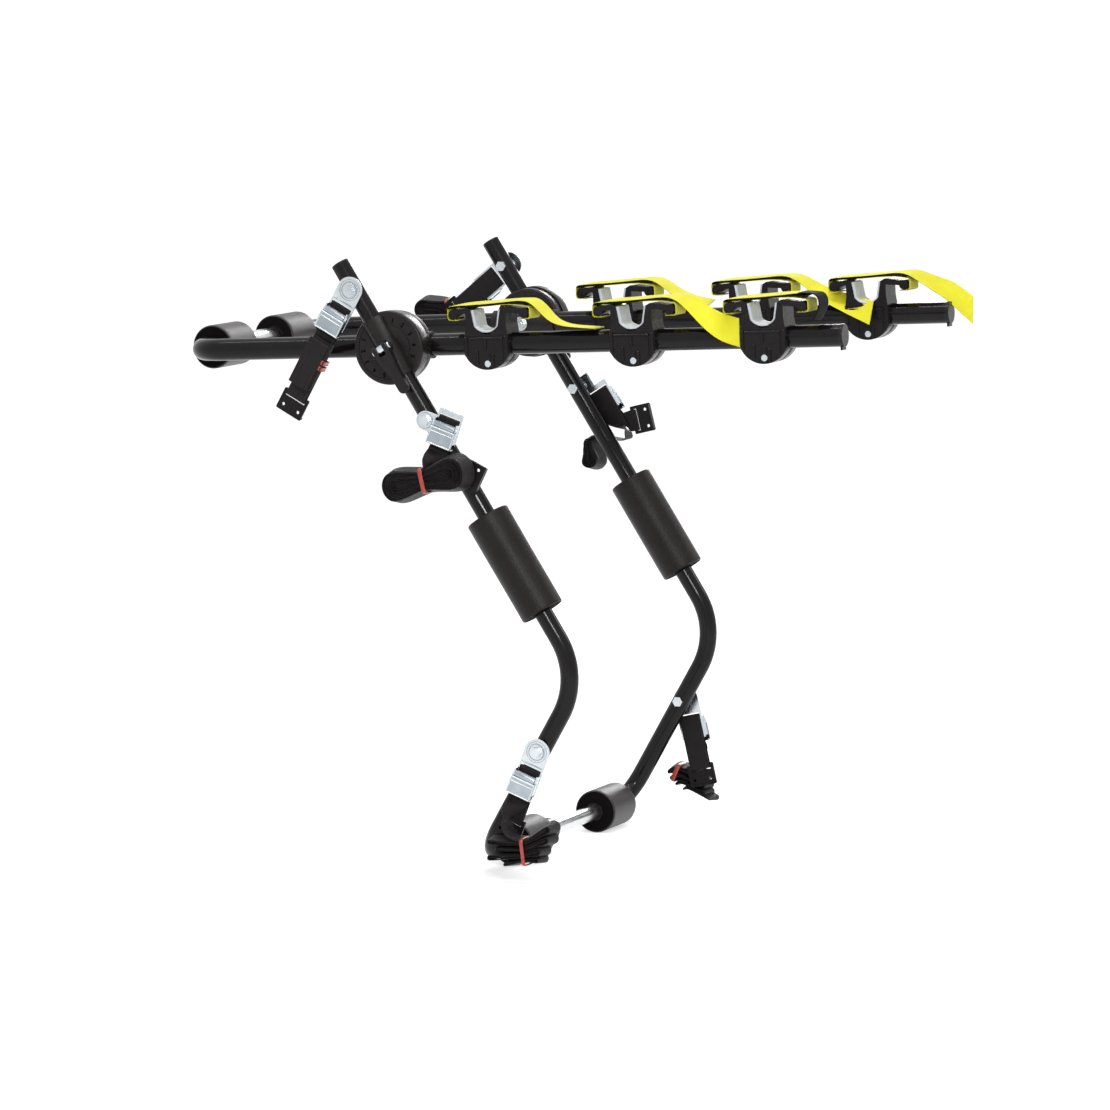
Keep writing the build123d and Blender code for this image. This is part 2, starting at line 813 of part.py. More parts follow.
def edge_plane(origin, down):
    """The edge-on view of a strap: its own X runs down the strap, its own Y outward."""
    return Plane(origin, x_dir=down, z_dir=down.cross(outward))


def make_buckle(side, level):
    """The base of a cam buckle: plate, two cheeks and the cam's pin."""
    down = strap_down(side, level)
    origin = buckle_origin(side, level)
    along, across = bolt_offset.get((side, level), (0.0, 0.0))
    half = buckle_width / 2
    ear = half if across == 0 else 13.0
    first = 0.0 if across == 0 else slot_at - slot_length / 2 - 7
    with BuildPart() as buckle:
        with BuildSketch(face_plane(origin, down, plate_lift)) as plate:
            with Locations(((first + buckle_end) / 2, 0)):
                Rectangle(buckle_end - first, buckle_width)
            with Locations((along, across)):
                Circle(ear)
            if across != 0:
                with Locations((along, across / 2)):
                    Rectangle(2 * ear, across)
            with Locations((along, across)):
                Circle(strap_bolt_d / 2 + strap_bolt_gap, mode=Mode.SUBTRACT)
            with Locations((slot_at, 0)):
                Rectangle(slot_length, webbing_width + 1, mode=Mode.SUBTRACT)
        extrude(plate.sketch, amount=sheet)
        top = face_plane(origin, down, plate_lift + sheet)
        height = cheek_top - plate_lift - sheet
        cheek = (cheek_in, cheek_in + sheet)
        slab(top, (cheek_start, buckle_end - 2), cheek, height)
        slab(top, (cheek_start, buckle_end - 2), (-cheek[1], -cheek[0]), height)
        pin_place = origin + down * cam_at + outward * cam_lift
        reach = cheek_in + sheet + 1
        pin = Plane(pin_place - to_car(down) * reach, z_dir=to_car(down))
        rod(pin, cam_pin_d / 2, 2 * reach)
        rod(pin, cam_pin_d / 2 + 1.2, 1)
        rod(pin.offset(2 * reach), cam_pin_d / 2 + 1.2, -1)
        on_side(side)
    save(buckle, f"{side}_{level}_buckle")


def make_cam(side, level):
    """The sprung cam lever of a buckle."""
    down = strap_down(side, level)
    origin = buckle_origin(side, level)
    half = cheek_in - 0.4
    half_plate = buckle_width / 2 + 0.5
    profile_plane = edge_plane(origin, down)
    with BuildPart() as cam:
        with BuildSketch(profile_plane) as core:
            with Locations((cam_at, cam_lift)):
                Circle(cam_lobe_d / 2)
            with Locations((cam_at + 6, (cam_lift + cam_plate_lift + 0.5) / 2)):
                Rectangle(21, cam_plate_lift + 0.5 - cam_lift)
        extrude(core.sketch, amount=half, both=True)
        with BuildSketch(profile_plane) as cover:
            with Locations(((cam_at + 3 + cam_tip_at) / 2, cam_plate_lift + sheet / 2)):
                Rectangle(cam_tip_at - cam_at - 3, sheet)
            with Locations((cam_tip_at - sheet / 2, cam_plate_lift - 2.5)):
                Rectangle(sheet, 9)
        extrude(cover.sketch, amount=half_plate, both=True)
        bend = cam.edges().filter_by(lambda edge: abs(edge.length - 2 * half_plate) < 0.01)
        fillet(bend.sort_by(Axis(origin, down))[-2:].sort_by(Axis.X)[-1], 1.6)
        start = Plane(
            origin + down * cam_at + outward * cam_lift - to_car(down) * 30, z_dir=to_car(down)
        )
        rod(start, cam_pin_d / 2 + 0.06, 60, mode=Mode.SUBTRACT)
        on_side(side)
    save(cam, f"{side}_{level}_cam")


def hook_frame(side, level):
    """Where a strap's hook end starts, its direction, its lift and how far off the hook is."""
    down = strap_down(side, level)
    origin = buckle_origin(side, level)
    if level != "mid":
        return origin, down, under_lift, hook_reach[side, level]
    fold = origin + down * fold_at
    across, rise = side_hook[side]
    bolt = bolt_places[level]
    target = Vector(leg_skin, bolt.Y + across, bolt.Z + rise)
    span = target - fold
    return fold, span.normalized(), under_lift + fold_pitch, span.length - 8


def make_hook(side, level):
    """The flat hook at the end of a strap, with its slot and its turned-in lip."""
    start, way, lift, reach = hook_frame(side, level)
    middle = lift + (over_lift - under_lift) / 2
    back = middle - hook_sheet / 2
    first = reach - slot_length / 2 - 5
    last = first + hook_length
    half = hook_width / 2
    with BuildPart() as hook:
        with BuildSketch(face_plane(start, way, back)) as plate:
            with Locations(((first + last) / 2, 0)):
                RectangleRounded(last - first, hook_width, 2)
            with Locations((reach, 0)):
                Rectangle(slot_length, webbing_width + 1, mode=Mode.SUBTRACT)
            with Locations((reach + 15, 12), (reach + 15, -12)):
                Circle(2.2, mode=Mode.SUBTRACT)
        extrude(plate.sketch, amount=hook_sheet)
        low_edge = face_plane(start, way, lip_lift[level])
        span = (last - hook_sheet, last)
        slab(low_edge, span, (2 - half, half - 2), middle - lip_lift[level])
        on_side(side)
    save(hook, f"{side}_{level}_hook")


def flat_hank_route():
    """The edge-on line of a tail that is folded to and fro along its own strap."""
    near = twist_start + 3
    far = hook_reach["left", "top"] - flap_length + 4
    route = []
    lift = rise_lift
    for run in range(7):
        end = far - 2 * (run % 3) if run % 2 == 0 else near + 1.5 * (run % 3)
        route.append(((end, lift), fold_pitch * 0.48))
        lift += fold_pitch
        route.append(((end, lift), fold_pitch * 0.48))
    route.append(((near + 20, lift), 0))
    return route


def coil_route(side, level, entry):
    """The edge-on line of a tail that is wound to and fro in a bundle with a narrow waist."""
    lead, centre, angle, length, fan, waist, runs, toward = hanks[side, level]
    run_way = (cos(radians(angle)), sin(radians(angle)))
    stack = (-run_way[1], run_way[0])
    bolt = (bolt_places[level].Y, bolt_places[level].Z)
    middle = (bolt[0] + centre[0], bolt[1] + centre[1])

    def place(along, height):
        return tuple(middle[k] + run_way[k] * along + stack[k] * height for k in (0, 1))

    step = fan / (runs - 1)
    turn = step * 0.42
    down = strap_down(side, level)
    route = [(entry, 0), ((entry[0] + down.Y * 5, entry[1] + down.Z * 5), 5.0)]
    route += [((bolt[0] + across, bolt[1] + rise), 5.0) for across, rise in lead]
    for run in range(runs - 1):
        end = toward * (length / 2 - 2 * (run % 3))
        high = fan / 2 - run * step
        route.append((place(end, high), turn))
        route.append((place(end, high - step), turn))
        route.append((place(0, (high - step) * waist / fan), 24.0))
        toward = -toward
    route.append((place(toward * length / 3, (step * 0.7 - fan) / 2 + step * 0.35), 0))
    return route


def least_gap(route):
    """The least gap between two runs of a ribbon, measured on points along its line."""
    points = []
    travelled = []
    total = 0.0
    for (first, turn), (second, next_turn) in zip(route, route[1:]):
        span = ((second[0] - first[0]) ** 2 + (second[1] - first[1]) ** 2) ** 0.5
        count = max(1, int(span / 1.5))
        for step in range(count):
            share = step / count
            points.append([first[k] + (second[k] - first[k]) * share for k in (0, 1)])
            travelled.append(total + span * share)
        total += span
    gaps = [
        ((p[0] - q[0]) ** 2 + (p[1] - q[1]) ** 2) ** 0.5
        for i, p in enumerate(points)
        for j, q in enumerate(points[:i])
        if travelled[i] - travelled[j] > 9
    ]
    return min(gaps) - webbing_thickness, total


def make_webbing(side, level):
    """One unbroken band: sewn flap, hook, buckle slot, under the cam and its folded tail."""
    down = strap_down(side, level)
    origin = buckle_origin(side, level)
    start, way, lift, reach = hook_frame(side, level)
    flat = (side, level) not in hanks
    flap_lift = lift + over_lift - under_lift
    flap_start = max(reach - flap_length, 20.0 if level == "mid" else 0.0)
    over = [
        ((slot_at, under_lift), slot_turn),
        ((slot_at, over_lift), slot_turn),
        ((rise_at - 5, over_lift), 5),
        ((rise_at, rise_lift), 5),
    ]
    if flat:
        over += flat_hank_route()
    else:
        over.append(((twist_start, rise_lift), 0))
    hook_turn = [
        ((reach, lift), slot_turn),
        ((reach, flap_lift), slot_turn),
        ((flap_start, flap_lift), 0),
    ]
    with BuildPart() as webbing:
        if level == "mid":
            ribbon(edge_plane(origin, down), [((slot_at + 30, under_lift), 0), *over])
            add_fold(origin, down, way, reach - 6)
            ribbon(edge_plane(start, way), [((reach - 6, lift), 0), *hook_turn])
        else:
            ribbon(edge_plane(origin, down), [*reversed(hook_turn), *over])
        if not flat:
            entry = add_twist(origin, down)
            route = coil_route(side, level, (entry.Y, entry.Z))
            ribbon(side_plane(leg_skin + hank_lift), route)
            gap, length = least_gap(route)
        else:
            gap, length = least_gap([*reversed(hook_turn), *over])
        on_side(side)
    print(f"{side}_{level}_webbing: folded tail {length:.0f} mm, least gap {gap:.2f} mm")
    save(webbing, f"{side}_{level}_webbing")


def add_twist(origin, down):
    """Quarter of a turn, which brings the band from face-on to edge-on; returns its end."""
    steps = 6
    sections = []
    for step in range(steps + 1):
        share = step / steps
        turn = radians(90 * share)
        lift = rise_lift + (hank_lift - rise_lift) * sin(turn)
        place = origin + down * (twist_start + twist_length * share) + outward * lift
        across = to_car(down) * cos(turn) + outward * sin(turn)
        with BuildSketch(Plane(place, x_dir=across, z_dir=down)) as section:
            Rectangle(webbing_width, webbing_thickness)
        sections.append(section.sketch)
    loft(sections, ruled=True)
    return origin + down * (twist_start + twist_length)


def add_fold(origin, down, way, far):
    """A flat fold at a slant: the band turns to a new direction, one layer further out."""
    half = webbing_width / 2
    half_corner = radians(down.get_angle(way)) / 2
    skew = half * tan(half_corner) * (1 if way.dot(to_car(down)) > 0 else -1)
    middle = origin + down * fold_at
    layers = [
        (origin, down, under_lift, slot_at + 30, fold_at, skew),
        (middle, way, under_lift + fold_pitch, far, 0.0, -skew),
    ]
    for start, run_way, lift, end, crease, lean in layers:
        with BuildSketch(face_plane(start, run_way, lift - webbing_thickness / 2)) as layer:
            with BuildLine():
                Polyline(
                    (end, -half),
                    (end, half),
                    (crease + lean, half),
                    (crease - lean, -half),
                    (end, -half),
                )
            make_face()
        extrude(layer.sketch, amount=webbing_thickness)
    line = (down + way).normalized()
    off = (down - way).normalized()
    reach = half / cos(half_corner)
    crease = middle + outward * (under_lift + fold_pitch / 2) - line * reach
    with BuildSketch(Plane(crease, x_dir=off, z_dir=line)) as bend:
        Circle((fold_pitch + webbing_thickness) / 2)
        Circle((fold_pitch - webbing_thickness) / 2, mode=Mode.SUBTRACT)
        with Locations((fold_pitch, 0)):
            Rectangle(2 * fold_pitch, 4 * fold_pitch, mode=Mode.INTERSECT)
    extrude(bend.sketch, amount=2 * reach)


def make_strap_bolts(side):
    """The three bolts that carry the straps on one leg, with spacers, washers and nuts."""
    inner = leg_x - leg_tube_d / 2
    washer_lift = plate_lift + sheet + running_gap
    with BuildPart() as bolts:
        for place in bolt_places.values():
            skin = side_plane(leg_skin, place.Y, place.Z)
            rod(side_plane(inner - hex_height - 0.4, place.Y, place.Z), strap_bolt_d / 2,
                leg_tube_d + hex_height + washer_lift + washer_height)
            rod(skin, spacer_d / 2, spacer_height)
            rod(skin.offset(washer_lift), washer_d / 2, washer_height)
            hexagon(skin.offset(washer_lift + washer_height), hex_height)
            hexagon(side_plane(inner - hex_height, place.Y, place.Z), hex_height)
        on_side(side)
    save(bolts, f"{side}_strap_bolts")


for side in ("left", "right"):
    low_corner = foot_point(foot_length)
    car_corner = arm_point(-arm_back)
    make_leg_tube(side)
    make_leg_plug(side)
    make_leg_pad(side)
    make_roller(f"{side}_lower_roller", side, low_roller_edge[side], low_corner, leg_tube_d)
    make_arm_tube(side)
    make_arm_plug(side)
    make_roller(f"{side}_upper_roller", side, roller_edge[side], car_corner, arm_tube_d)
    make_leg_shell(side)
    make_arm_shell(side)
    make_axle(side)
    make_hub_lever(side)
    make_cradle_bodies(side)
    make_cradle_screws(side)
    make_cradle_pads(side)
    make_cradle_straps(side)
    make_strap_bolts(side)
    for level in ("top", "mid", "low"):
        make_buckle(side, level)
        make_cam(side, level)
        make_hook(side, level)
        make_webbing(side, level)

make_inner_tube(
    "lower_spreader_tube",
    foot_point(foot_length),
    -foot_end["left"] - lower_insert,
    leg_x - crossbar_bend - insert_end_gap,
    leg_bore,
)
make_inner_tube(
    "upper_spreader_tube",
    arm_point(-arm_back),
    -arm_end["left"] - upper_insert,
    arm_x - crossbar_bend - insert_end_gap,
    arm_bore,
)
make_collar()
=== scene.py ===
import math
import random

import bmesh
import bpy
import numpy as np
from mathutils import Matrix, Vector


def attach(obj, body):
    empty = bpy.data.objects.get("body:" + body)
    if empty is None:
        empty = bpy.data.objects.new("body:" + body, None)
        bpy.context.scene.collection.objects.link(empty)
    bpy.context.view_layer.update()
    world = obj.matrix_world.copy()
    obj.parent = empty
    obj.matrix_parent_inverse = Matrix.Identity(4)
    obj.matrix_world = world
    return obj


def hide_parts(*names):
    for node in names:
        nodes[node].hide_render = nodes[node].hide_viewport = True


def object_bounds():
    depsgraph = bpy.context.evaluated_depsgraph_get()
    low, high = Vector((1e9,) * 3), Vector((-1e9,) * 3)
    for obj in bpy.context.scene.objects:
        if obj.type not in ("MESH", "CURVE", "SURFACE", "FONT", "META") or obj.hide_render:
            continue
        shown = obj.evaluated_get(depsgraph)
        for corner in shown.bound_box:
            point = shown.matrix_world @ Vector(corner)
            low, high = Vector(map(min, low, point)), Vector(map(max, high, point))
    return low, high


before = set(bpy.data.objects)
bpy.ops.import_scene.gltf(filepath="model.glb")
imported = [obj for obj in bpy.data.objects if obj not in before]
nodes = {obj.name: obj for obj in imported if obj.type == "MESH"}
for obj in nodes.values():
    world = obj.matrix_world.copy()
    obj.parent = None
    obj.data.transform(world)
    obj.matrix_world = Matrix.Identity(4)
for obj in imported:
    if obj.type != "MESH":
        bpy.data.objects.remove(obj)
cad_low, cad_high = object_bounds()

MM = 0.001
chance = random.Random(7)

# Sizes shared with the CAD source, in millimetres
leg_spacing = 527.0
leg_tube_d = 25.0
leg_lean = 32.7
knee_reach = 514.0
foot_lean = 29.2
foot_length = 283.5
arm_spacing = 443.0
arm_tube_d = 30.0
arm_tilt = 2.9
arm_back = 312.0
pad_d = 60.0
pad_start = 263.0
pad_length = 149.5
roller_d = 60.0
roller_length = 83.0
roller_edge = {"left": 75.0, "right": 44.0}
low_roller_edge = {"left": 86.0, "right": 137.0}
top_bolt_rise = 92.0
side_bolt_drop = 112.0
foot_bolt_run = 116.0
cradle_stations = {"left": (133.0, 342.0, 527.0), "right": (141.0, 345.0, 518.0)}
cradle_width = 42.0
saddle_floor = 19.0
saddle_throat = 25.0
saddle_width = 43.0
horn_top = 50.0
bar_height = 41.0
bar_back, bar_front = 47.0, 55.0
bar_d = 13.0
hub_split_x = 244.8
hub_half_gap = 0.25
hub_shell_depth = 22.0
slot_at = 24.2
under_lift = 2.0
over_lift = 7.4
rise_at = 70.0
rise_lift = 10.2
twist_start = 72.5
twist_length = 22.0
hank_lift = 27.0
fold_pitch = 2.8
tight_pitch = 1.9
fold_at = 80.0
flap_length = 26.0
webbing_width = 30.0
usual_hook_reach = 102.0

# Sizes of the visual model alone, in millimetres
webbing_thickness = 1.3
rubber_thickness = 0.9
corner_reach = 2.2
cam_face, plate_face = 19.5, 6.0
sleeve_gap = 0.3
foam_rim = 2.5
rib_height = 1.9
upper_thickness, hook_strip_thickness, loop_thickness = 1.5, 2.5, 1.2

strap_lean = {
    ("left", "top"): 28.5,
    ("right", "top"): 50.0,
    ("left", "mid"): 18.8,
    ("right", "mid"): -33.0,
    ("left", "low"): 21.0,
    ("right", "low"): -13.0,
}
bolt_offset = {("left", "mid"): (39.8, 32.7), ("right", "mid"): (7.0, 18.5)}
hook_reach = {("left", "top"): 169.0}
side_hook = {"left": (-127.0, -166.0), "right": (-153.0, -136.0)}
# Wound tails, as (y, z): the lead, which end the first turn goes round, and bundles of turns,
# each with a round end and its radius, a waist and its half, the other end, and the turns
hanks = {
    ("right", "top"): (((131.0, 14.5), (147.0, 22.0)), 1, (
        ((187.0, 9.0), 17.0, (172.0, 8.5), 16.0, (157.0, 8.0), 15.5, 10),
    )),
    ("left", "mid"): (((-72.0, -157.5),), -1, (
        ((-33.5, -180.5), 26.0, (-71.0, -172.0), 15.5, (-106.5, -162.5), 26.5, 10),
    )),
    ("right", "mid"): (((-126.0, -171.0), (-91.0, -166.0), (-72.0, -163.0)), 1, (
        ((-70.0, -198.0), 15.5, (-68.0, -184.0), 9.5, (-66.5, -174.0), 7.5, 8),
    )),
    ("left", "low"): (((-184.0, -634.0), (-192.0, -645.5)), -1, (
        ((-168.0, -652.6), 6.5, (-215.8, -652.3), 4.3, (-249.0, -632.5), 8.0, 3),
        ((-178.0, -662.0), 5.5, (-215.8, -660.6), 4.3, (-247.0, -647.5), 7.0, 3),
        ((-169.0, -674.0), 7.0, (-215.8, -669.0), 4.3, (-235.5, -663.2), 8.0, 3),
        ((-189.0, -682.5), 6.0, (-215.8, -676.5), 3.6, (-234.0, -675.5), 5.5, 2),
    )),
    ("right", "low"): (((-245.5, -634.0), (-238.0, -637.5)), 1, (
        ((-193.0, -641.5), 5.5, (-204.0, -636.5), 4.4, (-240.0, -646.0), 7.5, 3),
        ((-196.0, -650.0), 4.6, (-209.0, -646.5), 4.2, (-243.0, -659.5), 6.2, 3),
        ((-205.0, -658.0), 4.4, (-214.0, -656.0), 4.2, (-246.0, -669.5), 4.6, 3),
        ((-215.0, -665.0), 3.4, (-224.0, -665.0), 3.2, (-253.5, -678.0), 3.6, 2),
    )),
}

leg_x = leg_spacing / 2
arm_x = arm_spacing / 2
leg_skin = leg_x + leg_tube_d / 2
hub_face_x = hub_split_x + hub_half_gap + hub_shell_depth
outward = Vector((1, 0, 0))
leg_down = Vector((0, -math.sin(math.radians(leg_lean)), -math.cos(math.radians(leg_lean))))
foot_down = Vector((0, math.sin(math.radians(foot_lean)), -math.cos(math.radians(foot_lean))))
arm_out = Vector((0, -math.cos(math.radians(arm_tilt)), math.sin(math.radians(arm_tilt))))
arm_up = Vector((0, math.sin(math.radians(arm_tilt)), math.cos(math.radians(arm_tilt))))
bolt_places = {
    "top": outward * leg_x - leg_down * top_bolt_rise,
    "mid": outward * leg_x + leg_down * side_bolt_drop,
    "low": outward * leg_x + leg_down * knee_reach + foot_down * foot_bolt_run,
}


def leg_point(run):
    return outward * leg_x + leg_down * run


def arm_point(run):
    return outward * arm_x + arm_out * run


# Camera: the photograph's place and lens, fitted to the rack's main points
CAMERA_YAW, CAMERA_LIFT, CAMERA_AWAY = 22.0, 6.5, 8.2981
CAMERA_SHIFT = (0.1240, -0.3058)
PHOTO_SIDE, FOCAL_LENGTH_PIXELS, SENSOR_WIDTH = 1110.0, 6000.0, 36.0
camera_data = bpy.data.cameras.new("camera")
camera = bpy.data.objects.new("camera", camera_data)
bpy.context.scene.collection.objects.link(camera)
bpy.context.scene.camera = camera
turn, lift = math.radians(CAMERA_YAW - 90), math.radians(CAMERA_LIFT)
back = Vector((math.sin(turn) * math.cos(lift), -math.cos(turn) * math.cos(lift), math.sin(lift)))
right = Vector((math.cos(turn), math.sin(turn), 0))
up = back.cross(right)
place = back * CAMERA_AWAY + right * CAMERA_SHIFT[0] + up * CAMERA_SHIFT[1]
camera.matrix_world = Matrix.Translation(place) @ Matrix((right, up, back)).transposed().to_4x4()
camera_data.sensor_width = SENSOR_WIDTH
camera_data.lens = FOCAL_LENGTH_PIXELS / PHOTO_SIDE * SENSOR_WIDTH
camera_data.clip_end = 500.0


# Materials

def nodes_of(name):
    """A new material, its node tree and its Principled shader."""
    made = bpy.data.materials.new(name)
    made.use_nodes = True
    tree = made.node_tree
    return made, tree, tree.nodes["Principled BSDF"]


def add(tree, kind, **values):
    """One node, with its properties and input values set."""
    node = tree.nodes.new(kind)
    for key, value in values.items():
        if hasattr(node, key):
            setattr(node, key, value)
        else:
            node.inputs[key.replace("_", " ")].default_value = value
    return node


def noise(tree, where, scale, detail=2.0, roughness=0.5):
    """Noise from 0 to 1 at a place."""
    node = add(tree, "ShaderNodeTexNoise")
    node.inputs["Scale"].default_value = scale
    node.inputs["Detail"].default_value = detail
    node.inputs["Roughness"].default_value = roughness
    tree.links.new(where, node.inputs["Vector"])
    return node.outputs["Fac"]


def spread(tree, value, low, high, start=0.3, end=0.7):
    """A value that runs from start to end, spread over low to high."""
    node = add(tree, "ShaderNodeMapRange")
    for key, number in (("From Min", start), ("From Max", end), ("To Min", low), ("To Max", high)):
        node.inputs[key].default_value = number
    tree.links.new(value, node.inputs["Value"])
    return node.outputs["Result"]


def tint(tree, value, first, second):
    """A colour between two, by a value from 0 to 1."""
    node = add(tree, "ShaderNodeMix", data_type="RGBA")
    node.inputs[6].default_value = (*first, 1)
    node.inputs[7].default_value = (*second, 1)
    tree.links.new(value, node.inputs[0])
    return node.outputs[2]


def combine(tree, operation, first, second):
    """One step of arithmetic on sockets or numbers."""
    node = add(tree, "ShaderNodeMath", operation=operation)
    for socket, value in zip(node.inputs, (first, second)):
        if isinstance(value, (int, float)):
            socket.default_value = value
        else:
            tree.links.new(value, socket)
    return node.outputs[0]


def bump(tree, shader, height, distance, strength=1.0):
    """A height in metres as the shader's bump."""
    node = add(tree, "ShaderNodeBump")
    node.inputs["Distance"].default_value = distance
    node.inputs["Strength"].default_value = strength
    tree.links.new(height, node.inputs["Height"])
    tree.links.new(node.outputs["Normal"], shader.inputs["Normal"])


def surface(name, first, second, rough, grain, grain_depth, patch=18.0, metallic=0.0, **sockets):
    """A material whose colour and gloss vary in patches, with a fine bump over it."""
    made, tree, shader = nodes_of(name)
    where = add(tree, "ShaderNodeTexCoord").outputs["Object"]
    patches = noise(tree, where, patch, 4.0, 0.6)
    fine = noise(tree, where, grain, 3.0, 0.55)
    tree.links.new(tint(tree, patches, first, second), shader.inputs["Base Color"])
    mixed = combine(tree, "ADD", combine(tree, "MULTIPLY", patches, 0.7),
                    combine(tree, "MULTIPLY", fine, 0.3))
    tree.links.new(spread(tree, mixed, *rough), shader.inputs["Roughness"])
    bump(tree, shader, fine, grain_depth)
    shader.inputs["Metallic"].default_value = metallic
    for key, value in sockets.items():
        shader.inputs[key.replace("_", " ")].default_value = value
    return made


tube_black = surface("tube_black", (0.0050, 0.0040, 0.0042), (0.010, 0.0082, 0.0085),
                     (0.12, 0.20), 900.0, 0.00003, Specular_IOR_Level=0.19)
zinc = surface("zinc", (0.40, 0.45, 0.48), (0.76, 0.80, 0.83), (0.16, 0.34), 420.0, 0.00006,
               patch=55.0, metallic=1.0)
zinc_dark = surface("zinc_dark", (0.24, 0.28, 0.31), (0.48, 0.53, 0.56), (0.18, 0.34), 500.0,
                    0.00005, patch=70.0, metallic=1.0)
bright_tube = surface("bright_tube", (0.58, 0.59, 0.60), (0.76, 0.77, 0.78), (0.16, 0.28),
                      700.0, 0.00002, patch=60.0, metallic=1.0)
hook_black = surface("hook_black", (0.006, 0.0048, 0.0050), (0.013, 0.0108, 0.0112),
                     (0.22, 0.36), 700.0, 0.00005, patch=120.0, Specular_IOR_Level=0.16)
hub_plastic = surface("hub_plastic", (0.0095, 0.0074, 0.0074), (0.0195, 0.0158, 0.0158),
                      (0.20, 0.34), 1500.0, 0.00010, patch=60.0, Specular_IOR_Level=0.20)
lever_plastic = surface("lever_plastic", (0.0070, 0.0056, 0.0058), (0.0150, 0.0122, 0.0128),
                        (0.16, 0.28), 1300.0, 0.00005, patch=60.0, Specular_IOR_Level=0.22)
cradle_plastic = surface("cradle_plastic", (0.0062, 0.0050, 0.0055), (0.0130, 0.0108, 0.0118),
                         (0.20, 0.34), 1300.0, 0.00008, patch=60.0, Specular_IOR_Level=0.18)
saddle_rubber = surface("saddle_rubber", (0.52, 0.55, 0.60), (0.70, 0.73, 0.78), (0.42, 0.58),
                        1100.0, 0.00008, patch=70.0)
band_red = surface("band_red", (0.34, 0.016, 0.009), (0.52, 0.042, 0.024), (0.22, 0.40),
                   800.0, 0.00006, patch=200.0, Specular_IOR_Level=0.8)
dial_mark = surface("dial_mark", (0.0012, 0.0010, 0.0010), (0.0026, 0.0022, 0.0022),
                    (0.40, 0.55), 1500.0, 0.00004, patch=60.0, Specular_IOR_Level=0.02)


def make_foam(name, first, second, rough, gloss, sheen):
    """Closed-cell foam: small cells and dusty patches."""
    made, tree, shader = nodes_of(name)
    where = add(tree, "ShaderNodeTexCoord").outputs["Object"]
    cells = add(tree, "ShaderNodeTexVoronoi", feature="F1")
    cells.inputs["Scale"].default_value = 620.0
    tree.links.new(where, cells.inputs["Vector"])
    patches = noise(tree, where, 26.0, 5.0, 0.62)
    fine = noise(tree, where, 1300.0, 2.0)
    tree.links.new(tint(tree, patches, first, second), shader.inputs["Base Color"])
    tree.links.new(spread(tree, fine, *rough), shader.inputs["Roughness"])
    shader.inputs["Specular IOR Level"].default_value = gloss
    shader.inputs["Sheen Weight"].default_value = sheen
    shader.inputs["Sheen Roughness"].default_value = 0.4
    height = combine(tree, "ADD", cells.outputs["Distance"], combine(tree, "MULTIPLY", fine, 0.5))
    bump(tree, shader, height, 0.00022, 0.9)
    return made


def wave(tree, value, period):
    """A sine of that period, in the UV map's millimetres, from 0 to 1."""
    turned = combine(tree, "MULTIPLY", value, 2 * math.pi / period)
    return combine(tree, "MULTIPLY_ADD", combine(tree, "SINE", turned, 0.0), 0.5)


def woven(name, first, second, rough, warp, weft, depth, chevron=0.0, sheen=0.3, gloss=0.4):
    """Woven band: warp cords along it, crossed by weft ribs, with lighter and duller yarns."""
    chevron_half = 3.75
    made, tree, shader = nodes_of(name)
    map_node = add(tree, "ShaderNodeTexCoord")
    parts = add(tree, "ShaderNodeSeparateXYZ")
    tree.links.new(map_node.outputs["UV"], parts.inputs[0])
    across, along = parts.outputs[0], parts.outputs[1]
    zigzag = combine(tree, "PINGPONG", across, chevron_half)
    slanted = combine(tree, "ADD", along, combine(tree, "MULTIPLY", zigzag, chevron))
    ribs = wave(tree, slanted, weft)
    cords = wave(tree, across, warp)
    height = combine(tree, "MULTIPLY", combine(tree, "POWER", cords, 0.5), ribs)
    where = map_node.outputs["Object"]
    patches = noise(tree, where, 45.0, 4.0, 0.6)
    yarn = noise(tree, where, 1500.0, 2.0)
    shade = combine(tree, "MULTIPLY", combine(tree, "ADD", patches, yarn), 0.5)
    tree.links.new(tint(tree, spread(tree, shade, 0.0, 1.0), first, second),
                   shader.inputs["Base Color"])
    tree.links.new(spread(tree, yarn, *rough), shader.inputs["Roughness"])
    shader.inputs["Sheen Weight"].default_value = sheen
    shader.inputs["Sheen Roughness"].default_value = 0.4
    shader.inputs["Specular IOR Level"].default_value = gloss
    bump(tree, shader, height, depth, 0.9)
    return made


foam = make_foam("foam", (0.0072, 0.0050, 0.0048), (0.0165, 0.0122, 0.0118), (0.32, 0.44), 0.18,
                 0.0)
# Lighter, glossier copy of the foam for the rollers: the lighter colour is painted light on their
# lit tops; gloss and sheen are the shader's own.
lit_roller_foam = make_foam("lit_roller_foam", (0.0110, 0.0085, 0.0080), (0.0240, 0.0190, 0.0175),
                        (0.36, 0.48), 0.42, 0.10)
# Darker, duller foam for the sleeves' end faces: the darker colour is painted shade, the dullness
# is the cut cells' own.
cut_foam_painted_shade = make_foam("cut_foam_painted_shade", (0.0028, 0.0022, 0.0022), (0.0062, 0.0050, 0.0050),
                     (0.70, 0.86), 0.05, 0.0)
webbing_black = woven("webbing_black", (0.0055, 0.0043, 0.0045), (0.0150, 0.0120, 0.0124),
                      (0.40, 0.56), 1.5, 1.15, 0.00022, chevron=0.55, sheen=0.05, gloss=0.18)
strap_yellow = woven("strap_yellow", (0.80, 0.74, 0.012), (0.92, 0.88, 0.035), (0.62, 0.80),
                     0.8, 0.8, 0.00010, sheen=0.2)
strap_under = woven("strap_under", (0.0040, 0.0036, 0.0034), (0.0100, 0.0088, 0.0084),
                    (0.6, 0.8), 1.3, 1.3, 0.00030, sheen=0.0, gloss=0.1)


# Meshes

def flipped(points, side):
    """What is drawn at +X, moved to its own side."""
    if side == "left":
        return [Vector((-p.x, p.y, p.z)) for p in points]
    return list(points)


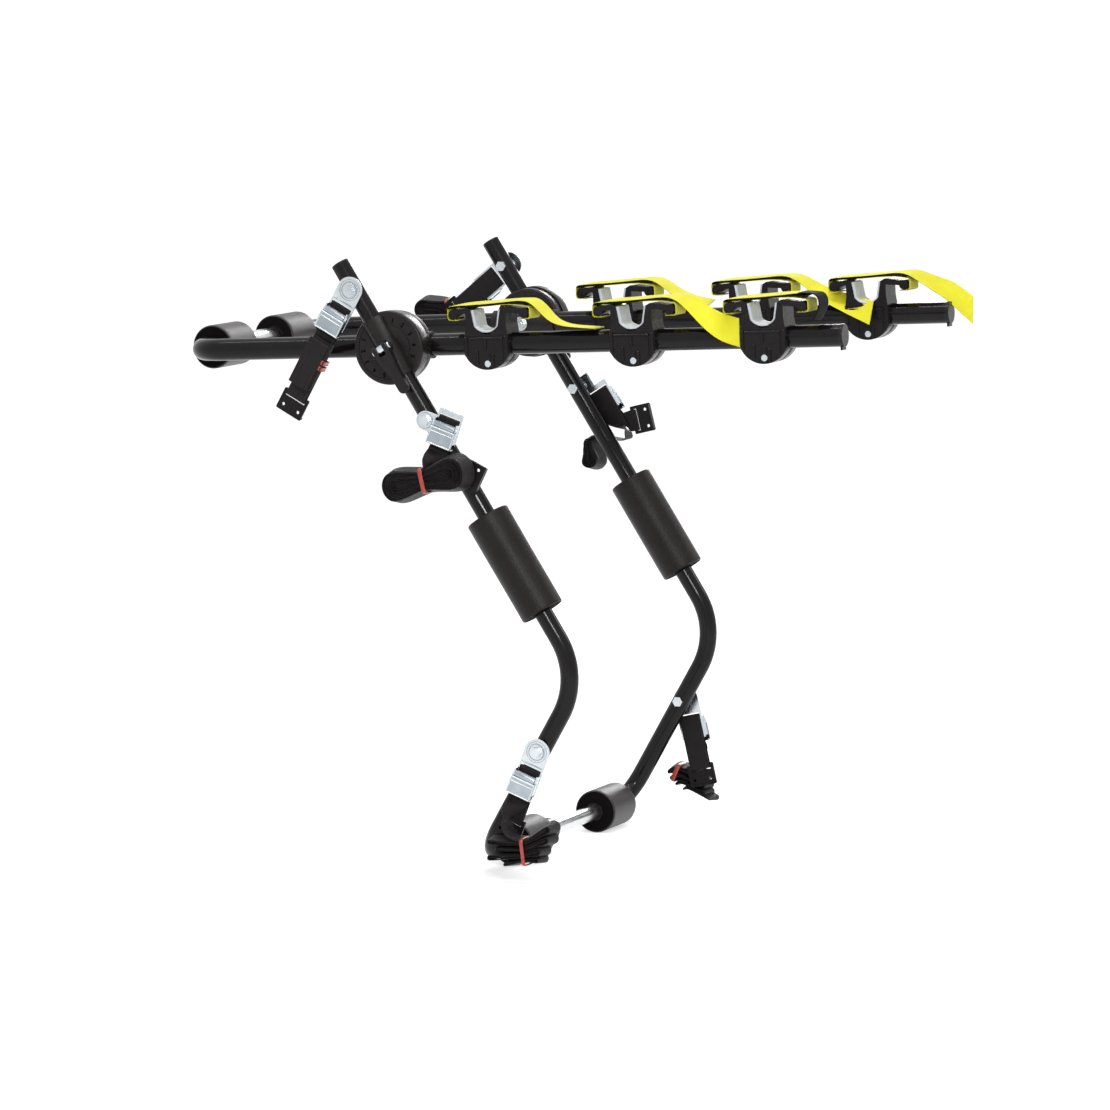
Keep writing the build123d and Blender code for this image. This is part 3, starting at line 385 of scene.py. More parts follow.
def new_piece(name, points, faces, materials, body, smooth=40.0):
    """An object from millimetre points, shaded smooth up to an angle, riding on its body."""
    mesh = bpy.data.meshes.new(name)
    mesh.from_pydata([tuple(Vector(p) * MM) for p in points], [], faces)
    mesh.update()
    made = bpy.data.objects.new(name, mesh)
    bpy.context.scene.collection.objects.link(made)
    for material in materials:
        mesh.materials.append(material)
    tidy = bmesh.new()
    tidy.from_mesh(mesh)
    bmesh.ops.recalc_face_normals(tidy, faces=tidy.faces)
    tidy.to_mesh(mesh)
    tidy.free()
    mesh.shade_smooth()
    mesh.set_sharp_from_angle(angle=math.radians(smooth))
    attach(made, body)
    return made


def follow(controls, max_turn=11.0, max_step=9.0):
    """A smooth line led by control rows, each a centre and half the band's width: the line
    passes through the middle of each run between two rows, and bends towards each row."""
    rows = np.array([[*centre, *half] for centre, half in controls], float)
    joints = [rows[0], *[(a + b) / 2 for a, b in zip(rows[1:-1], rows[2:-1])], rows[-1]]
    line = [rows[0]]
    for start, guide, end in zip(joints, rows[1:-1], joints[1:]):
        first, last = (guide - start)[:3], (end - guide)[:3]
        length = np.linalg.norm(first) + np.linalg.norm(last)
        cosine = first @ last / max(np.linalg.norm(first) * np.linalg.norm(last), 1e-9)
        turned = math.degrees(math.acos(max(-1.0, min(1.0, cosine))))
        count = max(1, math.ceil(turned / max_turn), math.ceil(length / max_step))
        for step in range(1, count + 1):
            t = step / count
            line.append(start * (1 - t) ** 2 + guide * 2 * t * (1 - t) + end * t * t)
    return np.array(line)


EDGES = (-1.0, -0.955, -0.82, -0.4, 0.0, 0.4, 0.82, 0.955, 1.0)
EDGE_SHARE = (0.30, 0.85, 1.0, 1.0, 1.0, 1.0, 1.0, 0.85, 0.30)


def band(name, controls, thickness, materials, body, side, pick=None, curl=0.0):
    """A flat band along control rows, with thin rounded edges and a UV map in millimetres."""
    line = follow(controls)
    centres, halves = line[:, :3], line[:, 3:]
    ways = np.gradient(centres, axis=0)
    faces_out = np.cross(ways, halves)
    faces_out /= np.linalg.norm(faces_out, axis=1)[:, None]
    run = np.concatenate([[0], np.cumsum(np.linalg.norm(np.diff(centres, axis=0), axis=1))])
    points, places = [], []
    for centre, half, out, along in zip(centres, halves, faces_out, run):
        width = np.linalg.norm(half)
        for sign in (1, -1):
            order = list(zip(EDGES, EDGE_SHARE))
            for edge, share in order if sign > 0 else reversed(order):
                lift = sign * thickness / 2 * share - curl * edge * edge
                points.append(Vector(centre + half * edge + out * lift))
                places.append((edge * width, along))
    ring = 2 * len(EDGES)
    faces, marks = [], []
    for row in range(len(line) - 1):
        for k in range(ring):
            a, b = row * ring + k, row * ring + (k + 1) % ring
            faces.append((a, b, b + ring, a + ring))
            upper = k < len(EDGES) - 1
            marks.append(pick(run[row], upper) if pick else 0)
    last = (len(line) - 1) * ring
    faces.append(tuple(range(ring)))
    faces.append(tuple(reversed(range(last, last + ring))))
    marks += [0, 0]
    made = new_piece(name, flipped(points, side), faces, materials, body)
    sheet = made.data.uv_layers.new(name="band")
    for loop in made.data.loops:
        sheet.data[loop.index].uv = places[loop.vertex_index]
    for face, mark in zip(made.data.polygons, marks):
        face.material_index = mark
    return made


def near(points, reach):
    """Control points beside each corner, so that the line bends only close to it."""
    held = [points[0]]
    for before, corner, after in zip(points, points[1:], points[2:]):
        for other, first in ((before, True), (after, False)):
            span = math.dist(other, corner)
            if first and span > 2.5 * reach:
                held.append(tuple(c + (o - c) * reach / span for c, o in zip(corner, other)))
            if first:
                held.append(corner)
            elif span > 2.5 * reach:
                held.append(tuple(c + (o - c) * reach / span for c, o in zip(corner, other)))
    held.append(points[-1])
    return held


# Tie-down straps

def strap_down(side, level):
    lean = math.radians(strap_lean[side, level])
    return Vector((0, math.sin(lean), -math.cos(lean)))


def to_car(down):
    return outward.cross(down)


def buckle_origin(side, level):
    down = strap_down(side, level)
    along, across = bolt_offset.get((side, level), (0.0, 0.0))
    start = bolt_places[level] - down * along - to_car(down) * across
    return Vector((leg_skin, start.y, start.z))


def edge_rows(origin, down, points, half=webbing_width / 2):
    """Control rows of a band seen edge-on: points are (down the strap, off the leg)."""
    across = to_car(down) * half
    return [(origin + down * along + outward * lift, across) for along, lift in points]


def bundle_rows(side, bundle, toward):
    """Nested turns round two ends, drawn in at their waist, from the outermost inward. The
    edges turned to the near side of the rack are the narrower ones, as in a slack winding."""
    first_end, first_size, waist, waist_half, second_end, second_size, turns = bundle
    first_end, waist, second_end = (np.array(p, float) for p in (first_end, waist, second_end))
    way = (first_end - second_end) / np.linalg.norm(first_end - second_end)
    stack = np.array((-way[1], way[0]))
    caps = [(first_end, first_size, 1), (second_end, second_size, -1)][::toward]
    taper, full_taper_size = (-0.2 if side == "left" else 0.2), 9
    waist_run, wound_in, step_in = 5, 0.93, 0.1
    control_out = 1.082
    sway_reach, slip_reach = 1.8, (-1.0, 0.6)
    rows = []

    def row(place, normal, size, sway):
        lean = taper * max(0.7, min(1.0, size / full_taper_size))
        across = outward + Vector((0, *normal)) * lean
        rows.append((Vector((leg_skin + hank_lift + sway, *place)), across * webbing_width / 2))

    for turn in range(turns):
        for part, (end, size, facing) in enumerate(caps):
            upper = 1 - 2 * part
            sway, slip = chance.uniform(-sway_reach, sway_reach), chance.uniform(*slip_reach)
            share = 1 - wound_in * (turn + part / 2) / turns
            for shift in (-waist_run * facing, waist_run * facing):
                place = waist + way * shift + stack * (upper * waist_half * share)
                row(place, stack * upper, waist_half * share, sway)
            for step, corner in enumerate((67.5, 22.5, -22.5, -67.5)):
                share = 1 - wound_in * (turn + part / 2 + step_in + step_in * step) / turns
                angle = math.radians(corner)
                normal = way * (facing * math.cos(angle)) + stack * (upper * math.sin(angle))
                place = end + way * (facing * slip) + normal * (control_out * size * share)
                row(place, normal, size * share, sway)
    return rows


def hank_rows(side, level):
    """The twist after the buckle, the lead and the turns of a wound tail, edge-on to the leg."""
    down, origin = strap_down(side, level), buckle_origin(side, level)
    half = webbing_width / 2
    rows = []
    for share in (0.0, 0.2, 0.4, 0.6, 0.8, 1.0):
        angle = math.radians(90 * share)
        lift = rise_lift + (hank_lift - rise_lift) * math.sin(angle)
        centre = origin + down * (twist_start + twist_length * share) + outward * lift
        rows.append((centre, (to_car(down) * math.cos(angle) + outward * math.sin(angle)) * half))
    lead, toward, bundles = hanks[side, level]
    for y, z in lead:
        rows.append((Vector((leg_skin + hank_lift, y, z)), outward * half))
    return rows + bundle_rows(side, bundles[0], toward)


def flat_hank_rows(down, origin):
    """A tail folded to and fro along its own strap, its inner folds a little to one side."""
    runs, aside, end_run = 7, 3.5, 5
    first = twist_start + 3
    last = hook_reach["left", "top"] - flap_length + 4
    rows, lift = [], rise_lift
    for run in range(runs):
        if run % 2 == 0:
            end, way = last - 2 * (run % 3), 1
        else:
            end, way = first + 1.5 * (run % 3), -1
        moved = origin - to_car(down) * (aside if 0 < run < runs - 1 else 0.0)
        rows += edge_rows(moved, down, [(end - end_run * way, lift), (end, lift)])
        lift += tight_pitch
        if run < runs - 1:
            moved = origin - to_car(down) * (aside if run < runs - 2 else 0.0)
            rows += edge_rows(moved, down, [(end, lift), (end - end_run * way, lift)])
    return rows


def side_fold_rows(side):
    """The slanted flat fold of a side strap, from its hook up to the buckle's slot."""
    down, origin = strap_down(side, "mid"), buckle_origin(side, "mid")
    fold = origin + down * fold_at
    way = Vector((leg_skin, *side_hook[side])) - fold
    span = way.length
    way.normalize()
    half = webbing_width / 2
    half_corner = down.angle(way) / 2
    skew = half * math.tan(half_corner) * (1 if way.dot(to_car(down)) > 0 else -1)
    hook_room, crease_run, crease_edge, least_flap = 8, 14.0, 1.5, 20.0
    lift, reach = under_lift + fold_pitch, span - hook_room
    flap = lift + over_lift - under_lift
    way_across = to_car(way) * half
    down_across = to_car(down) * half
    crease = down_across + down * skew
    turned = 1 if way_across.dot(crease) > 0 else -1
    rows = []
    for along, height in near([(max(reach - flap_length, least_flap), flap), (reach, flap),
                               (reach, lift), (crease_run, lift)], corner_reach):
        rows.append((fold + way * along + outward * height, way_across * turned))
    return rows + [
        (fold + way * crease_edge + outward * lift, crease),
        (fold + outward * lift, crease),
        (fold + outward * under_lift, crease),
        (fold - down * crease_edge + outward * under_lift, crease),
        (fold - down * crease_run + outward * under_lift, down_across),
    ]


def make_hank_core(side, level, bundle):
    """The dark inside of a tight hank: it stops short of the turns' edges and of the outermost
    turns, and closes the slits between the inner ones."""
    first_end, first_size, waist, waist_half, second_end, second_size, _ = bundle
    first_end, waist, second_end = (np.array(p, float) for p in (first_end, waist, second_end))
    way = (first_end - second_end) / np.linalg.norm(first_end - second_end)
    stack = np.array((-way[1], way[0]))
    tight, edge_room = 0.8, 3
    deep = webbing_width / 2 - edge_room
    arc = [math.radians(angle) for angle in (12, 30, 50, 70, 90)]
    sections = [(second_end - way * (tight * second_size * math.cos(a)),
                 tight * second_size * math.sin(a)) for a in arc]
    sections.append((waist, tight * waist_half))
    sections += [(first_end + way * (tight * first_size * math.cos(a)),
                  tight * first_size * math.sin(a)) for a in reversed(arc)]
    points, faces = [], []
    for centre, half in sections:
        for across, rise in ((-1, -1), (1, -1), (1, 1), (-1, 1)):
            place = centre + stack * (half * rise)
            points.append(Vector((leg_skin + hank_lift + deep * across, *place)))
    for row in range(len(sections) - 1):
        for k in range(4):
            a, b = 4 * row + k, 4 * row + (k + 1) % 4
            faces.append((a, b, b + 4, a + 4))
    faces.append((3, 2, 1, 0))
    faces.append(tuple(len(points) - 4 + k for k in range(4)))
    new_piece(f"{side}_{level}_strap_core", flipped(points, side), faces, [hook_black],
              f"{side}_{level}_strap")


def make_strap(side, level):
    """One strap from its sewn flap through hook, slot and cam to its folded tail."""
    down, origin = strap_down(side, level), buckle_origin(side, level)
    reach = hook_reach.get((side, level), usual_hook_reach)
    through = [(slot_at, under_lift), (slot_at, over_lift), (rise_at - 5, over_lift),
               (rise_at, rise_lift), (twist_start, rise_lift)]
    if level == "mid":
        rows = side_fold_rows(side)
        rows += edge_rows(origin, down, near([(slot_at + 20, under_lift), *through], corner_reach))
    else:
        flap = [(reach - flap_length, over_lift), (reach, over_lift), (reach, under_lift)]
        rows = edge_rows(origin, down, near([*flap, *through], corner_reach))
    if (side, level) in hanks:
        rows += hank_rows(side, level)[1:]
    else:
        rows += flat_hank_rows(down, origin)
    piece = band(f"{side}_{level}_strap_webbing", rows, webbing_thickness, [webbing_black],
                 f"{side}_{level}_strap", side)
    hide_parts(f"{side}_{level}_webbing")
    if (side, level) in hanks:
        _, toward, bundles = hanks[side, level]
        for number, bundle in enumerate(bundles[1:], 2):
            band(f"{side}_{level}_strap_turns_{number}", bundle_rows(side, bundle, toward),
                 webbing_thickness, [webbing_black], f"{side}_{level}_strap", side)
        if len(bundles) == 1:
            make_hank_core(side, level, bundles[0])


def make_rubber_band(name, body, side, centre, along, wide, high, half_wide, half_high, width,
                     turns=1, pitch=0.0):
    """A stretched rubber band round a hank, with softly rounded corners."""
    steps, squareness = 40, 0.32
    rows = []
    for step in range(steps * turns + 1):
        angle = math.radians(360 / steps * step)
        x = math.copysign(abs(math.cos(angle)) ** squareness, math.cos(angle)) * half_wide
        y = math.copysign(abs(math.sin(angle)) ** squareness, math.sin(angle)) * half_high
        drift = along * (pitch * (step / steps - turns / 2))
        rows.append((centre + wide * x + high * y + drift, along * (width / 2)))
    band(name, rows, rubber_thickness, [band_red], body, side, curl=-0.6)


# Rubber bands: middle (y, z), the way along the hank in degrees, half its height, and width.
# The one on the flat folds of the left top strap goes round twice.
rubber_bands = {
    ("right", "top"): ((151.0, 8.0), 0.0, 17.5, 4.0),
    ("left", "mid"): ((-71.0, -172.0), -14.0, 17.5, 6.0),
    ("left", "low"): ((-215.8, -664.5), -8.0, 18.5, 5.0),
    ("right", "low"): ((-203.0, -642.5), 24.0, 13.5, 6.5),
}
band_room, flat_band_room = 3.2, 2.2
flat_band_along, flat_band_lift, flat_band_aside = 108, 9.8, 2.0
flat_band_half_high, flat_band_width, flat_band_turns, flat_band_pitch = 10.8, 6.0, 2, 8.6
for side in ("left", "right"):
    for level in ("top", "mid", "low"):
        make_strap(side, level)
        body, name = f"{side}_{level}_strap", f"{side}_{level}_rubber_band"
        if (side, level) in rubber_bands:
            centre, angle, half_high, width = rubber_bands[side, level]
            along = Vector((0, math.cos(math.radians(angle)), math.sin(math.radians(angle))))
            middle = Vector((leg_skin + hank_lift, *centre))
            make_rubber_band(name, body, side, middle, along, outward,
                             Vector((0, -along.z, along.y)), webbing_width / 2 + band_room,
                             half_high, width)
        elif (side, level) not in hanks:
            down, origin = strap_down(side, level), buckle_origin(side, level)
            middle = (origin + down * flat_band_along + outward * flat_band_lift
                      - to_car(down) * flat_band_aside)
            make_rubber_band(name, body, side, middle, down, to_car(down), outward,
                             webbing_width / 2 + flat_band_room, flat_band_half_high,
                             flat_band_width, flat_band_turns, flat_band_pitch)


# Foam

def lathe(name, start, way, length, outer, inner, rim, body, side, node, seed, skin=foam):
    """A foam sleeve: soft rims, a faintly uneven skin, a bore, and ends darkened as painted shade.
    """
    way = way.normalized()
    first = way.orthogonal().normalized()
    second = way.cross(first)
    bore_edge, smooth_bore, row_length, rim_steps = 1.2, 2, 5, 6
    profile = [(0.0, inner), (0.0, inner + bore_edge), (0.0, outer - rim)]
    for step in range(1, rim_steps):
        angle = math.pi / 2 * step / rim_steps
        profile.append((rim * (1 - math.cos(angle)), outer - rim * (1 - math.sin(angle))))
    rows = max(8, int(length / row_length))
    for step in range(rows + 1):
        profile.append((rim + (length - 2 * rim) * step / rows, outer))
    for step in range(rim_steps - 1, 0, -1):
        angle = math.pi / 2 * step / rim_steps
        edge = rim * (1 - math.cos(angle))
        profile.append((length - edge, outer - rim * (1 - math.sin(angle))))
    profile += [(length, outer - rim), (length, inner + bore_edge), (length, inner)]
    segments = 72
    waves = random.Random(seed)
    tones = [(waves.randint(2, 7), waves.uniform(0, 6.28), waves.uniform(0.02, 0.06),
              waves.uniform(0, 6.28)) for _ in range(5)]
    points = []
    for along, radius in profile:
        for k in range(segments):
            angle = 2 * math.pi * k / segments
            bulge = 0.0
            if radius > inner + smooth_bore:
                for lobes, phase, size, shift in tones:
                    bulge += (size * math.sin(lobes * angle + phase)
                              * math.sin(along * size + shift))
            r = radius + bulge
            points.append(start + way * along + (first * math.cos(angle) +
                                                 second * math.sin(angle)) * r)
    faces = []
    count = len(profile)
    for row in range(count):
        for k in range(segments):
            a = row * segments + k
            b = row * segments + (k + 1) % segments
            c = ((row + 1) % count) * segments
            faces.append((a, b, c + (k + 1) % segments, c + k))
    piece = new_piece(name, flipped(points, side), faces, [skin, cut_foam_painted_shade], body, 50.0)
    # The end faces, rim starts and bore get the darker foam: painted shade, on faces that are also
    # duller.
    painted_shade_rows = (0, 1, 2, count - 4, count - 3, count - 2, count - 1)
    for face in piece.data.polygons:
        face.material_index = int(face.index // segments in painted_shade_rows)
    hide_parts(node)


low_corner = leg_point(knee_reach) + foot_down * foot_length
car_corner = arm_point(-arm_back)
for index, side in enumerate(("left", "right")):
    frame_body, arm_body = f"{side}_frame", f"{side}_arm"
    # Every sleeve's end faces get the darker foam, painted shade; the rollers' skin is the lighter
    # foam, painted light.
    lathe(f"{side}_leg_foam", leg_point(pad_start), leg_down, pad_length, pad_d / 2,
          leg_tube_d / 2 + sleeve_gap, foam_rim, frame_body, side, f"{side}_leg_pad", 11 + index)
    lathe(f"{side}_lower_foam", Vector((low_roller_edge[side], low_corner.y, low_corner.z)),
          outward, roller_length, roller_d / 2, leg_tube_d / 2 + sleeve_gap, foam_rim,
          frame_body, side,
          f"{side}_lower_roller", 21 + index, lit_roller_foam)
    lathe(f"{side}_upper_foam", Vector((roller_edge[side], car_corner.y, car_corner.z)),
          outward, roller_length, roller_d / 2, arm_tube_d / 2 + sleeve_gap, foam_rim,
          arm_body, side,
          f"{side}_upper_roller", 31 + index, lit_roller_foam)


# Yellow cradle straps: each tail is (along the arm, up, turn in degrees, outwards)
tails = {
    "left": (
        ((63, 57, -4, 0), (76, 45, -5, 0), (90, 29, 0, 0), (108, 22, 0, 0), (130, 19.5, 0, 0),
         (155, 17.5, 0, 0)),
        ((63, 57, -10, 0), (78, 47, -20, 1), (96, 32, -38, 4), (114, 21, -58, 11),
         (132, 13, -76, 17), (152, 8, -88, 20.5)),
        ((63, 58, 0, 0), (77, 56, 0, 0), (80, 36, 0, 0), (68, 21, 0, 0)),
    ),
    "right": (
        ((63, 57, 5, 0), (77, 48, 8, 0), (94, 35, 10, 0), (116, 26, 12, 0), (140, 21, 12, 0)),
        ((63, 57, 5, 0), (78, 49, 11, 0), (96, 36, 19, -1), (117, 26, 28, -5), (142, 16, 36, -11),
         (165, 9, 45, -22), (184, 4, 55, -34)),
        ((63, 57, 9, 0), (77, 49, 17, 3), (94, 39, 26, 8), (111, 29, 38, 15), (127, 13, 58, 20),
         (140, 1, 80, 23)),
    ),
}


def cradle_rows(station, points, half=19.0):
    """Control rows in a cradle's side view: (along the arm, up, turn, outwards)."""
    centre = arm_point(station)
    rows = []
    for along, rise, turned, aside in points:
        angle = math.radians(turned)
        rows.append((centre + arm_out * along + arm_up * rise + outward * aside,
                     (outward * math.cos(angle) + arm_up * math.sin(angle)) * half))
    return rows


def make_cradle_strap(side, number, station, tail):
    """The upper band and its tail, the hook strip beneath it, and the lower band sewn round the
    front bar. The upper band's under side is dark, but for the start that wraps the back bar,
    and so are both sides at the end of the left third one."""
    body = f"{side}_arm"
    wrap_lift = 1.3
    wrap = bar_d / 2 + wrap_lift
    dark_from, turned_from = 26, 132
    strip_drop, strip_end, strip_half = 2.05, (60, 54.7), 19.3
    low, high = bar_height - wrap, bar_height + wrap
    tip = -4 if side == "left" else 3
    upper = [(-bar_back + 5, low, 0, 0), (-bar_back - 2, low, 0, 0),
             (-bar_back - wrap, low + 0.5, 0, 0), (-bar_back - wrap - 0.6, bar_height, 0, 0),
             (-bar_back - wrap, high + 2.4, 0, 0), (-bar_back + 2, 53.0, tip / 2, 0),
             (-26, 54.2, tip, 0), (0, 55.2, tip, 0), (24, 56.9, tip, 0), (48, 58.3, tip / 2, 0)]
    upper += list(tail)
    turned_under = (side, number) == ("left", 3)

    def two_tone(along, outer_side):
        if turned_under and along > turned_from:
            return 1
        return 0 if outer_side or along < dark_from else 1

    piece = band(f"{side}_cradle_strap_{number}", cradle_rows(station, upper),
                 upper_thickness, [strap_yellow, strap_under], body, side,
                 two_tone)
    beneath = [(along, rise - strip_drop, turned, aside)
               for along, rise, turned, aside in upper[5:10]]
    beneath.append((*strip_end, tip, 0))
    band(f"{side}_cradle_hooks_{number}", cradle_rows(station, beneath, strip_half),
         hook_strip_thickness, [strap_under], body, side)
    lower = [(-bar_back + 5, 49.2, 0, 0), (-34, 50.4, 0, 0), (-26, 51.0, 0, 0),
             (0, 51.6, 0, 0), (26, 53.0, 0, 0), (44, 52.6, 0, 0),
             (bar_front + 1, high + 1.6, 0, 0), (bar_front + wrap, high + 0.4, 0, 0),
             (bar_front + wrap + 0.6, bar_height, 0, 0),
             (bar_front + wrap, low, 0, 0), (bar_front - 1, low, 0, 0),
             (bar_front - 7, low, 0, 0)]
    band(f"{side}_cradle_loop_{number}", cradle_rows(station, lower), loop_thickness,
         [strap_yellow], body, side)
    return piece


for side in ("left", "right"):
    for number, (station, tail) in enumerate(zip(cradle_stations[side], tails[side]), 1):
        piece = make_cradle_strap(side, number, station, tail)
        if number == 1:
            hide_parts(f"{side}_cradle_straps")


# Saddle liners, relief on flat faces, and the dials' numbers

def make_saddles(side):
    """The soft grey liners of the three saddles, with a rolled edge and shallow ribs."""
    points, faces = [], []
    thin, arc_steps, arc_power = 3.0, 24, 1.2
    for station in cradle_stations[side]:
        centre = arm_point(station)
        arc = []
        rim = horn_top - 4
        mouth, throat = saddle_width / 2 - 0.6, saddle_width / 2 - 4.2
        floor = saddle_floor - thin + 0.1
        arc.append((-mouth, rim))
        arc.append((-(mouth + throat) / 2, (rim + saddle_throat) / 2))
        radius_y = saddle_throat - floor
        for step in range(arc_steps + 1):
            angle = math.pi * step / arc_steps
            arc.append((-throat * math.cos(angle),
                        saddle_throat - radius_y * math.sin(angle) ** arc_power))
        arc.append(((mouth + throat) / 2, (rim + saddle_throat) / 2))
        arc.append((mouth, rim))
        arc = np.array(arc, float)
        ways = np.gradient(arc, axis=0)
        ways /= np.linalg.norm(ways, axis=1)[:, None]
        inward = np.stack([-ways[:, 1], ways[:, 0]], axis=1)
        half = cradle_width / 2 - 1
        across = [-1.0, -0.96, -0.9, -0.55, -0.5, -0.45, -0.05, 0.0, 0.05, 0.45, 0.5, 0.55, 0.9,
                  0.96, 1.0]
        grooves = {-0.5: 0.55, 0.0: 0.55, 0.5: 0.55, -1.0: 1.2, 1.0: 1.2, -0.96: 0.3, 0.96: 0.3}
        first = len(points)
        ring = 2 * len(across)
        for (along, rise), (nx, ny) in zip(arc, inward):
            for share in across:
                depth = thin - grooves.get(share, 0.0)
                points.append(centre + arm_out * (along + nx * depth) +
                              arm_up * (rise + ny * depth) + outward * (half * share))
            for share in reversed(across):
                points.append(centre + arm_out * along + arm_up * rise + outward * (half * share))
        count = len(arc)
        for row in range(count - 1):
            for k in range(ring):
                a, b = first + row * ring + k, first + row * ring + (k + 1) % ring
                faces.append((a, b, b + ring, a + ring))
        faces.append(tuple(first + k for k in range(ring)))
        faces.append(tuple(first + (count - 1) * ring + k for k in reversed(range(ring))))
    piece = new_piece(f"{side}_saddle_liners", flipped(points, side), faces, [saddle_rubber],
                      f"{side}_arm", 35.0)
    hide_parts(f"{side}_cradle_pads")


def chip(points, faces, centre, axes, sizes, sink=0.4, chamfer=0.5):
    """A raised strip with chamfered edges: sizes along its two sides, and its height."""
    first, second, out = axes
    long, wide, height = sizes
    start = len(points)
    for inset, rise in ((0.0, -sink), (0.0, height - chamfer), (chamfer, height)):
        for x, y in ((-1, -1), (1, -1), (1, 1), (-1, 1)):
            points.append(centre + first * (x * (long / 2 - inset)) +
                          second * (y * (wide / 2 - inset)) + out * rise)
    for row in (0, 4):
        for k in range(4):
            a, b = start + row + k, start + row + (k + 1) % 4
            faces.append((a, b, b + 4, a + 4))
    faces.append(tuple(start + 8 + k for k in range(4)))
    faces.append(tuple(start + 3 - k for k in range(4)))


def make_cheek_ribs(side):
    """Flanges, ledge and ribs on both cheeks of each cradle."""
    points, faces = [], []
    strips = ((-29.2, -2.0, 4.4, 26.0), (28.8, -2.0, 4.4, 26.0), (-1.0, 8.2, 50.0, 3.0),
              (-1.5, 0.2, 3.6, 12.0), (8.4, -22.0, 3.2, 17.0), (-13.5, -17.0, 3.0, 18.0))
    for station in cradle_stations[side]:
        for facing in (-1, 1):
            face = arm_point(station) + outward * (facing * cradle_width / 2)
            for along, rise, long, tall in strips:
                chip(points, faces, face + arm_out * along + arm_up * rise,
                     (arm_out, arm_up, outward * facing), (long, tall, rib_height))
    new_piece(f"{side}_cradle_ribs", flipped(points, side), faces, [cradle_plastic],
              f"{side}_arm", 20.0)


def make_buckle_relief(side, level):
    """The cam plate's raised frame and ribs, and the pressed rings round the bolt."""
    down, origin = strap_down(side, level), buckle_origin(side, level)
    axes = (down, to_car(down), outward)
    face = origin + outward * cam_face
    points, faces = [], []
    for along, across, long, wide in ((40.6, 0, 2.0, 35.6), (46.0, 0, 1.6, 31.6),
                                      (62.6, 0, 1.8, 35.6), (51.6, -17.0, 20.0, 1.8),
                                      (51.6, 17.0, 20.0, 1.8)):
        chip(points, faces, face + down * along + to_car(down) * across, axes,
             (long, wide, 0.9), chamfer=0.35)
    new_piece(f"{side}_{level}_cam_frame", flipped(points, side), faces, [zinc],
              f"{side}_{level}_cam_lever", 20.0)
    points, faces = [], []
    plate = origin + outward * plate_face
    if level != "mid":
        for along in (18.6, 29.0):
            chip(points, faces, plate + down * along, axes, (1.6, 31.0, 1.0), chamfer=0.4)
    bolt = Vector((leg_skin + plate_face, bolt_places[level].y, bolt_places[level].z))
    rings = ((9.8, 11.2),) if level == "mid" else ((10.4, 12.0), (13.6, 14.8))
    ring_slope, ring_sink, ring_height = 0.3, 0.4, 0.7
    for inner, outer in rings:
        first, segments = len(points), 56
        profile = ((inner, -ring_sink), (inner + ring_slope, ring_height),
                   (outer - ring_slope, ring_height), (outer, -ring_sink))
        for k in range(segments):
            angle = 2 * math.pi * k / segments
            radial = down * math.cos(angle) + to_car(down) * math.sin(angle)
            points += [bolt + radial * radius + outward * rise for radius, rise in profile]
        for k in range(segments):
            for j in range(4):
                a, b = first + 4 * k + j, first + 4 * k + (j + 1) % 4
                c = first + 4 * ((k + 1) % segments)
                faces.append((a, b, c + (j + 1) % 4, c + j))
    new_piece(f"{side}_{level}_buckle_relief", flipped(points, side), faces, [zinc_dark],
              f"{side}_{level}_strap", 20.0)


def make_dial(side):
    """Plain numbers on both halves of the hub's ring, that read from outside. The text's sizes
    are in metres."""
    text_size, text_raise, text_bevel = 0.0085, 0.0004, 0.0001
    text_sink, text_radius = 0.9, 0.0370
    sign = -1 if side == "left" else 1
    normal = Vector((sign, 0, 0))
    lean = math.atan2(-leg_down.z, -leg_down.y)
    pieces = []
    for sector in (-1, 1):
        for index, offset in enumerate((42, 66, 90, 114, 138)):
            angle = lean + sector * math.radians(offset)
            radial = Vector((0, math.cos(angle), math.sin(angle)))
            reading = radial.cross(normal)
            curve = bpy.data.curves.new(f"{side}_number", "FONT")
            curve.body = str(index + 1)
            curve.size = text_size
            curve.extrude = text_raise
            curve.bevel_depth = text_bevel
            curve.align_x = "CENTER"
            curve.align_y = "CENTER"
            text = bpy.data.objects.new(f"{side}_number", curve)
            spot = normal * (hub_face_x - text_sink) * MM + radial * text_radius
            text.matrix_world = Matrix.Translation(spot) @ Matrix(
                (reading, radial, normal)).transposed().to_4x4()
            bpy.context.scene.collection.objects.link(text)
            pieces.append(text)
    bpy.context.view_layer.update()
    built = bmesh.new()
    depsgraph = bpy.context.evaluated_depsgraph_get()
    for text in pieces:
        mesh = bpy.data.meshes.new_from_object(text.evaluated_get(depsgraph))
        mesh.transform(text.matrix_world)
        built.from_mesh(mesh)
        bpy.data.objects.remove(text)
    mesh = bpy.data.meshes.new(f"{side}_dial_numbers")
    built.to_mesh(mesh)
    built.free()
    made = bpy.data.objects.new(f"{side}_dial_numbers", mesh)
    bpy.context.scene.collection.objects.link(made)
    mesh.materials.clear()
    mesh.materials.append(dial_mark)
    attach(made, f"{side}_frame")


for side in ("left", "right"):
    make_saddles(side)
    make_cheek_ribs(side)
    make_dial(side)
    for level in ("top", "mid", "low"):
        make_buckle_relief(side, level)


